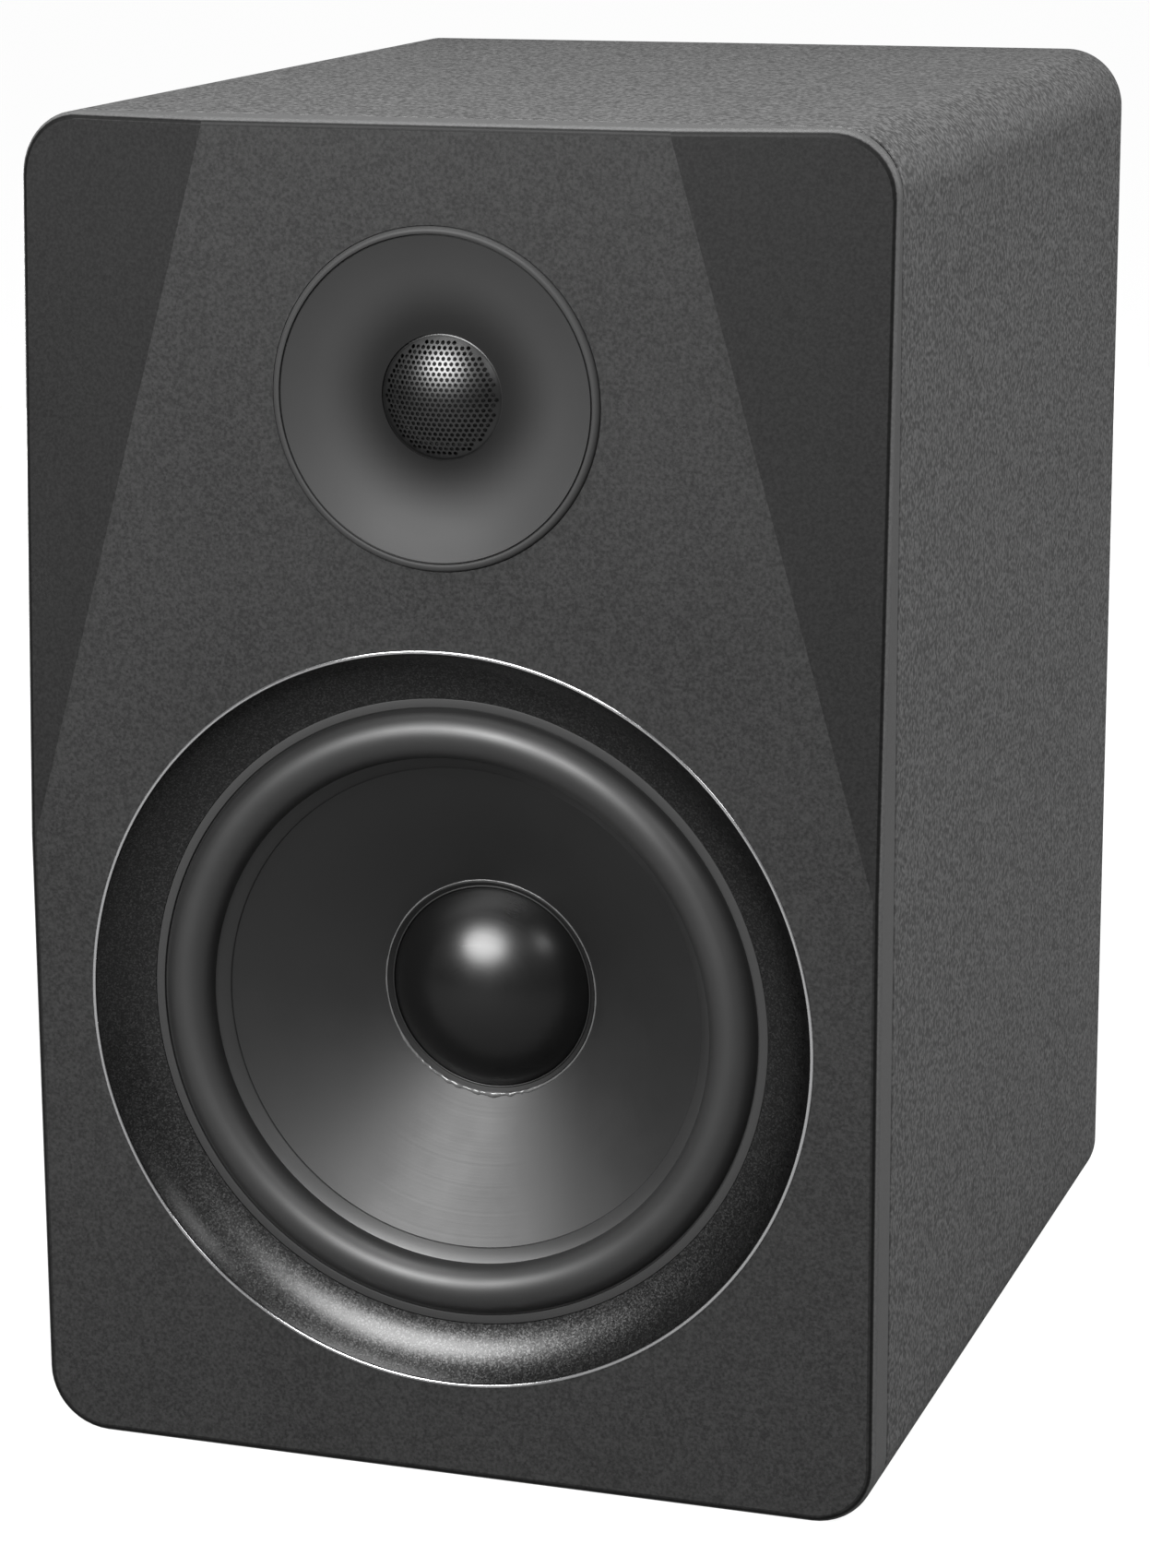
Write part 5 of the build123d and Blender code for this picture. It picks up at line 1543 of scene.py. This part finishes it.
@dataclass
class Rear:
    """What stands on the amplifier plate: fins, screws, knobs, marks. Millimetres.

    cross_reach, cross_web and cross_depth are the screw's recess: half its length, half the
    width of its arms and its depth. grip is how far the knob's skin lies inside its foot.
    """

    plate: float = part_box("amp_plate")[1].y / MM
    fins: int = 19
    fin_thickness: float = 1.8
    fin_base: float = 3.0
    fin_root: float = 0.2
    fin_tip: float = 0.55
    base_edge: float = 0.3
    screw_head: float = 3.6
    screw_height: float = 2.2
    screw_inset: float = 6.5
    cross_reach: float = 1.8
    cross_web: float = 0.64
    cross_depth: float = 1.3
    knob_ribs: int = 30
    knob_wall: float = 2.0
    knob_skirt: float = 2.4
    grip: float = 0.55
    sweep: float = 300.0
    ticks: int = 11
    tick_gap: float = 1.6
    tick_length: float = 1.8
    tick_rise: float = 0.15
    mark_half: float = 0.22

    @staticmethod
    def row() -> Recipe:
        """The tree that repeats a piece along X.

        Returns:
            The tree.
        """
        recipe = Recipe("row")
        start, pitch = recipe.add("Start", "NodeSocketVector"), recipe.add("Pitch", "NodeSocketFloat")
        count = recipe.add("Count", "NodeSocketInt")
        recipe.add("Material", "NodeSocketMaterial")
        step = recipe.node("ShaderNodeCombineXYZ", None, {"X": pitch})
        sockets = {"Count": count, "Start Location": start, "Offset": step}
        recipe.close(recipe.copies(recipe.node("GeometryNodeMeshLine", None, sockets)))
        return recipe

    @staticmethod
    def fan() -> Recipe:
        """The tree that repeats a piece round a line along Y, over an arc.

        Returns:
            The tree.
        """
        recipe = Recipe("fan")
        centre, radius = recipe.add("Centre", "NodeSocketVector"), recipe.add("Radius", "NodeSocketFloat")
        first, sweep = recipe.add("First", "NodeSocketFloat"), recipe.add("Sweep", "NodeSocketFloat")
        count = recipe.add("Count", "NodeSocketInt")
        recipe.add("Material", "NodeSocketMaterial")
        points = recipe.node("GeometryNodeMeshLine", None, {"Count": count, "Offset": (0.0, 0.0, 0.0)})
        turn = recipe.node("GeometryNodeInputIndex") * sweep / (count - 1.0) + first
        reach = {"X": recipe.math("SINE", turn) * radius, "Z": recipe.math("COSINE", turn) * radius}
        place = recipe.vector("ADD", centre, recipe.node("ShaderNodeCombineXYZ", None, reach))
        moved = recipe.node("GeometryNodeSetPosition", None, {"Geometry": points, "Position": place})
        angle = recipe.node("ShaderNodeCombineXYZ", None, {"Y": turn})
        recipe.close(recipe.copies(moved, Rotation=angle))
        return recipe

    @staticmethod
    def grid() -> Recipe:
        """The tree that repeats a piece at the points of another object.

        Returns:
            The tree.
        """
        recipe = Recipe("grid")
        places = recipe.add("Places", "NodeSocketObject")
        recipe.add("Material", "NodeSocketMaterial")
        points = recipe.node("GeometryNodeObjectInfo", None, {"Object": places}, "Geometry")
        recipe.close(recipe.copies(points))
        return recipe

    def heatsink(self, material: bpy.types.Material) -> bpy.types.Object:
        """The finned block: a base and a row of fins with rounded tips.

        Args:
            material: what the tree gives the fins.

        Returns:
            The block.
        """
        low, high = (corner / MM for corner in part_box("heatsink"))
        half, root = self.fin_thickness / 2, low.y + self.fin_base - self.fin_root
        fins = Bench.grown(
            "fins",
            Bench.block((-half, root, low.z), (half, high.y, high.z), self.fin_tip),
            self.row(),
            Start=((low.x + half) * MM, 0.0, 0.0),
            Pitch=(high.x - low.x - self.fin_thickness) / (self.fins - 1) * MM,
            Count=self.fins,
            Material=material,
        )
        base = Bench.block(tuple(low), (high.x, low.y + self.fin_base, high.z), self.base_edge)
        return Bench.joined("finned_heatsink", [base, fins])

    def screw(self) -> bpy.types.Object:
        """One pan head with its cross recess, standing on the origin's plane.

        Returns:
            The head, named unit.
        """
        radius, height, corners = self.screw_head, self.screw_height, 24
        star = [self.cross_reach if k % 6 == 0 else self.cross_web for k in range(corners)]
        head = [(0.0, 1.0), (0.3, 1.0), (0.72, 0.93), (0.95, 0.74), (1.0, 0.56)]
        rows = [(height * up, [radius * out] * corners) for up, out in head]
        rows += [(height, star), (height - self.cross_depth, [reach * 0.8 for reach in star])]
        points, faces = [], []
        for depth, ring in rows:
            for k, reach in enumerate(ring):
                angle = 2 * pi * k / corners
                points.append((reach * MM * cos(angle), depth * MM, reach * MM * sin(angle)))
        for row in range(len(rows) - 1):
            for k in range(corners):
                after = (k + 1) % corners
                a, b = row * corners, (row + 1) * corners
                faces.append((a + k, a + after, b + after, b + k))
        faces += [tuple(range(corners)), tuple(range((len(rows) - 1) * corners, len(rows) * corners))]
        return Bench.make("unit", points, faces, 40)

    def plate_screws(self, material: bpy.types.Material) -> bpy.types.Object:
        """The heads of the ten screws round the amplifier plate.

        Args:
            material: what the tree gives the heads.

        Returns:
            The heads, as one piece.
        """
        low, high = (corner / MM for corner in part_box("amp_plate"))
        wide, tall = (high.x - low.x) / 2 - self.screw_inset, (high.z - low.z) / 2 - self.screw_inset
        middle = (low.z + high.z) / 2
        spots = [(x, z) for x in (-wide, wide) for z in (-tall, 0, tall)]
        spots += [(x, z) for x in (-wide / 3, wide / 3) for z in (-tall, tall)]
        places = bpy.data.meshes.new("places")
        places.from_pydata([(x * MM, self.plate * MM, (z + middle) * MM) for x, z in spots], [], [])
        marks = Bench.link("places", places)
        heads = Bench.grown("cross_head_screws", self.screw(), self.grid(), Places=marks, Material=material)
        bpy.data.objects.remove(marks)
        return heads

    def knob(self, dresser: Dresser, node: str, body: str) -> None:
        """One ribbed knob and its pointer.

        Args:
            dresser: gives each piece its finish and body.
            node: the knob's node.
            body: the body it turns with.
        """
        low, high = (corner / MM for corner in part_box(node))
        axis = ((low.x + high.x) / 2 * MM, 0.0, (low.z + high.z) / 2 * MM)
        radius, base, top = (high.x - low.x) / 2, low.y, high.y
        skin = radius - self.grip
        profile = [(base, radius - self.knob_skirt), (base, radius - 0.3)]
        profile += bow((base + 0.3, radius), (base + 0.9, radius - 0.06), (base + 1.6, skin), 6)
        profile += bow((top - 1.0, skin - 0.25), (top - 0.3, skin - 0.55), (top, skin - 1.3), 6)
        profile += [(top - 0.25, skin - 1.9), (top - 0.35, skin * 0.4), (top - 0.35, 0.002)]
        profile += [(top - self.knob_wall, 0.002), (top - self.knob_wall, radius - self.knob_skirt)]
        body_piece = Bench.lathe("knob_body", profile, axis, 96)
        rib = Bench.block((-self.mark_half, base + 1.8, -0.5), (self.mark_half, top - 0.9, 0.32), 0.12)
        turn = 2 * pi * (self.knob_ribs - 1) / self.knob_ribs
        ribs = Bench.grown(
            "ribs",
            rib,
            self.fan(),
            Centre=axis,
            Radius=(skin - 0.05) * MM,
            First=0.0,
            Sweep=turn,
            Count=self.knob_ribs,
            Material=dresser.material("knob_black"),
        )
        dresser.place(Bench.joined("ribbed_" + node, [body_piece, ribs]), "knob_black", body, [node])
        x, z = axis[0] / MM, axis[2] / MM
        mark = Bench.block((x - 0.4, top - 0.5, z + skin * 0.35), (x + 0.4, top - 0.05, z + skin - 1.5), 0.1)
        mark.name = node + "_pointer"
        dresser.place(mark, "nickel", body)

    def dial(self, dresser: Dresser, node: str) -> None:
        """The ring of raised marks round a knob.

        Args:
            dresser: gives the marks their finish and body.
            node: the knob's node.
        """
        low, high = (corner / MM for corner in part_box(node))
        reach = (high.x - low.x) / 2 + self.tick_gap
        centre = ((low.x + high.x) / 2 * MM, 0.0, (low.z + high.z) / 2 * MM)
        start = (-self.mark_half, self.plate - 0.1, 0)
        end = (self.mark_half, self.plate + self.tick_rise, self.tick_length)
        tick = Bench.block(start, end, 0.05)
        sweep = radians(self.sweep)
        marks = Bench.grown(
            node + "_marks",
            tick,
            self.fan(),
            Centre=centre,
            Radius=reach * MM,
            First=-sweep / 2,
            Sweep=sweep,
            Count=self.ticks,
            Material=dresser.material("nickel"),
        )
        dresser.place(marks, "nickel")

    def build(self, dresser: Dresser) -> None:
        """Makes and places everything on the plate.

        Args:
            dresser: gives each piece its finish and body.
        """
        fins = self.heatsink(dresser.material("heatsink_black"))
        dresser.place(fins, "heatsink_black", nodes=["heatsink"])
        dresser.place(self.plate_screws(dresser.material("screw_black")), "screw_black")
        for control in ("level", "treble", "bass"):
            self.knob(dresser, control + "_knob", control + "_control")
            self.dial(dresser, control + "_knob")


class Wall(Enum):
    """A wall with foam: the axis across its slab, and which way along it the foam faces."""

    LEFT = (0, 1.0)
    RIGHT = (0, -1.0)
    CEILING = (2, -1.0)


@dataclass
class Damping:
    """The foam on the cabinet's walls, with its egg-box face. Millimetres."""

    thick: float = 19.0
    side_top: float = 303.0
    top_half: float = 83.5
    pitch: float = 28.0
    step: float = 4.0
    peak: float = 5.0

    def sheet(self, wall: Wall, low: Point, high: Point) -> bpy.types.Object:
        """One slab whose free face is an egg box.

        Args:
            wall: the wall it is glued to.
            low: the slab's lowest corner.
            high: its highest corner.

        Returns:
            The slab.
        """
        side, sign = wall.value
        flat = [axis for axis in range(3) if axis != side]
        spans = [high[axis] - low[axis] for axis in flat]
        counts = [max(2, round(span / self.step)) for span in spans]
        glued, free = (low[side], high[side]) if sign > 0 else (high[side], low[side])
        points, faces = [], []
        for layer in (0, 1):
            for i in range(counts[0] + 1):
                for j in range(counts[1] + 1):
                    u, v = spans[0] * i / counts[0], spans[1] * j / counts[1]
                    spot = [0.0, 0.0, 0.0]
                    spot[flat[0]], spot[flat[1]] = low[flat[0]] + u, low[flat[1]] + v
                    wave = cos(2 * pi * u / self.pitch) * cos(2 * pi * v / self.pitch)
                    dip = self.peak * (0.5 - 0.5 * wave)
                    inside = 0 < i < counts[0] and 0 < j < counts[1]
                    spot[side] = glued if layer == 0 else free - sign * (dip if inside else self.peak)
                    points.append([c * MM for c in spot])
        wide = counts[1] + 1
        size = (counts[0] + 1) * wide
        for layer in (0, 1):
            for i in range(counts[0]):
                for j in range(counts[1]):
                    a = layer * size + i * wide + j
                    faces.append((a, a + 1, a + wide + 1, a + wide))
        rim = [i * wide for i in range(counts[0] + 1)]
        rim += [counts[0] * wide + j for j in range(1, wide)]
        rim += [i * wide + counts[1] for i in range(counts[0] - 1, -1, -1)]
        rim += [j for j in range(counts[1] - 1, 0, -1)]
        for a, b in zip(rim, rim[1:] + rim[:1]):
            faces.append((a, b, b + size, a + size))
        return Bench.make(wall.name.lower(), points, faces, 50)

    def build(self, dresser: Dresser) -> None:
        """Makes and places the two side slabs and the top one.

        Args:
            dresser: gives each piece its finish and body.
        """
        low, high = (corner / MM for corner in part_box("damping_foam"))
        front, back, top = low.y, high.y, high.z
        left, right, under = low.x + self.thick, high.x - self.thick, top - self.thick
        slabs = [
            self.sheet(Wall.LEFT, (low.x, front, low.z), (left, back, self.side_top)),
            self.sheet(Wall.RIGHT, (right, front, low.z), (high.x, back, self.side_top)),
            self.sheet(Wall.CEILING, (-self.top_half, front, under), (self.top_half, back, top)),
        ]
        piece = Bench.joined("wall_foam", slabs)
        dresser.place(piece, "foam_grey", nodes=["damping_foam"])


# ---------------------------------------------------------------- studio


AIM = (0, -0.05, 0.2)


@dataclass(frozen=True)
class SoftBox:
    """An oval light: where it stands, its sizes in metres, its watts and the point it faces."""

    place: Point
    wide: float
    high: float
    power: float
    aim: Point = AIM


@dataclass
class Studio:
    """Floor, backdrop, soft lights and the camera.

    sky is the backdrop's light on the speaker, and the two glows are what the camera sees.
    """

    eye: Point = (0.40024, -1.23168, 0.49215)
    yaw: float = 18.8915
    pitch: float = 13.8950
    roll: float = -0.3996
    lens: float = 97.643
    shift: tuple[float, float] = (0.01926, -0.00144)
    sky: float = 0.21
    sky_glow: float = 1.05
    floor_glow: float = 0.93
    floor_half: float = 30.0
    lights: dict[str, SoftBox] = field(default_factory=dict)

    def camera(self) -> None:
        """Sets the camera at the viewing angle."""
        yaw, pitch, roll = radians(self.yaw), radians(self.pitch), radians(self.roll)
        ahead = Vector((-sin(yaw) * cos(pitch), cos(yaw) * cos(pitch), -sin(pitch)))
        right = Vector((cos(yaw), sin(yaw), 0))
        above = right.cross(ahead)
        right, above = cos(roll) * right + sin(roll) * above, -sin(roll) * right + cos(roll) * above
        data = bpy.data.cameras.new("camera")
        data.lens, data.sensor_width = self.lens, 36.0
        data.shift_x, data.shift_y = self.shift
        data.clip_end = 50.0
        made = bpy.data.objects.new("camera", data)
        bpy.context.scene.collection.objects.link(made)
        turn = Matrix((right, above, -ahead)).transposed().to_4x4()
        made.matrix_world = Matrix.Translation(self.eye) @ turn
        bpy.context.scene.camera = made

    @staticmethod
    def soft_box(name: str, box: SoftBox) -> None:
        """Adds a soft oval light.

        Args:
            name: its name.
            box: the light.
        """
        data = bpy.data.lights.new(name, "AREA")
        data.shape, data.size, data.size_y, data.energy = "ELLIPSE", box.wide, box.high, box.power
        made = bpy.data.objects.new(name, data)
        bpy.context.scene.collection.objects.link(made)
        made.location = box.place
        made.rotation_mode = "QUATERNION"
        made.rotation_quaternion = (Vector(box.aim) - Vector(box.place)).to_track_quat("-Z", "Y")

    def floor(self) -> None:
        """A wide pale floor under the speaker."""
        half = self.floor_half
        corners = [(-half, -half, 0), (half, -half, 0), (half, half, 0), (-half, half, 0)]
        mesh = bpy.data.meshes.new("floor")
        mesh.from_pydata(corners, [], [(0, 1, 2, 3)])
        made = Bench.link("floor", mesh)
        material = bpy.data.materials.new("floor_finish")
        shader = Shader(material)
        seen = shader.node("ShaderNodeLightPath", out="Is Camera Ray")
        shader.set(Base_Color=(0.16, 0.16, 0.16), Roughness=0.9, Emission_Color=(1.0, 1.0, 1.0))
        shader.set(Emission_Strength=seen * self.floor_glow)
        mesh.materials.append(material)

    def backdrop(self) -> None:
        """A white backdrop that lights the speaker less than it shows."""
        world = bpy.data.worlds.new("studio")
        world.use_nodes = True
        bpy.context.scene.world = world
        board = Board(world.node_tree)
        seen = board.node("ShaderNodeBackground", None, {"Color": (1, 1, 1, 1), "Strength": self.sky_glow})
        direct = board.node("ShaderNodeLightPath", out="Is Camera Ray")
        sky = world.node_tree.nodes["Background"]
        sky.inputs["Color"].default_value = (1, 1, 1, 1)
        sky.inputs["Strength"].default_value = self.sky
        mixed = board.node("ShaderNodeMixShader", None, {0: direct, 1: Wire(board, sky.outputs[0]), 2: seen})
        board.plug(world.node_tree.nodes["World Output"], "Surface", mixed)

    def build(self) -> None:
        """Makes the floor, the world, the lights and the camera."""
        self.floor()
        self.backdrop()
        for name, box in self.lights.items():
            self.soft_box(name, box)
        bpy.context.scene.view_settings.view_transform = "Standard"
        self.camera()


STUDIO = Studio(
    lights={
        "key": SoftBox((-0.317, -1.323, 0.927), 1.0, 0.7, 30.0),
        "top": SoftBox((0.0, -0.127, 1.297), 0.9, 0.9, 11.5),
        "right": SoftBox((1.08, -0.956, 1.15), 0.42, 0.42, 2.8),
        "rear_right": SoftBox((1.533, 0.508, 0.961), 1.0, 1.4, 20.5),
        "behind": SoftBox((-0.9, 1.7, 0.12), 1.4, 0.24, 26.0, (0, 0.15, 0.2)),
    }
)


def main() -> None:
    """Dresses the frame's nodes, then builds each sub-assembly and the studio."""
    logging.basicConfig(level=logging.INFO, format="%(name)s: %(message)s")
    dresser = Dresser(FINISHES)
    for part in frame["record"]["subparts"]:
        dresser.dress(frame["nodes"][part["node"]], part["material_slot"])
    Cabinet().build(dresser)
    Woofer().build(dresser)
    Tweeter().build(dresser)
    Rear().build(dresser)
    Damping().build(dresser)
    STUDIO.build()


if __name__ == "__main__":
    main()
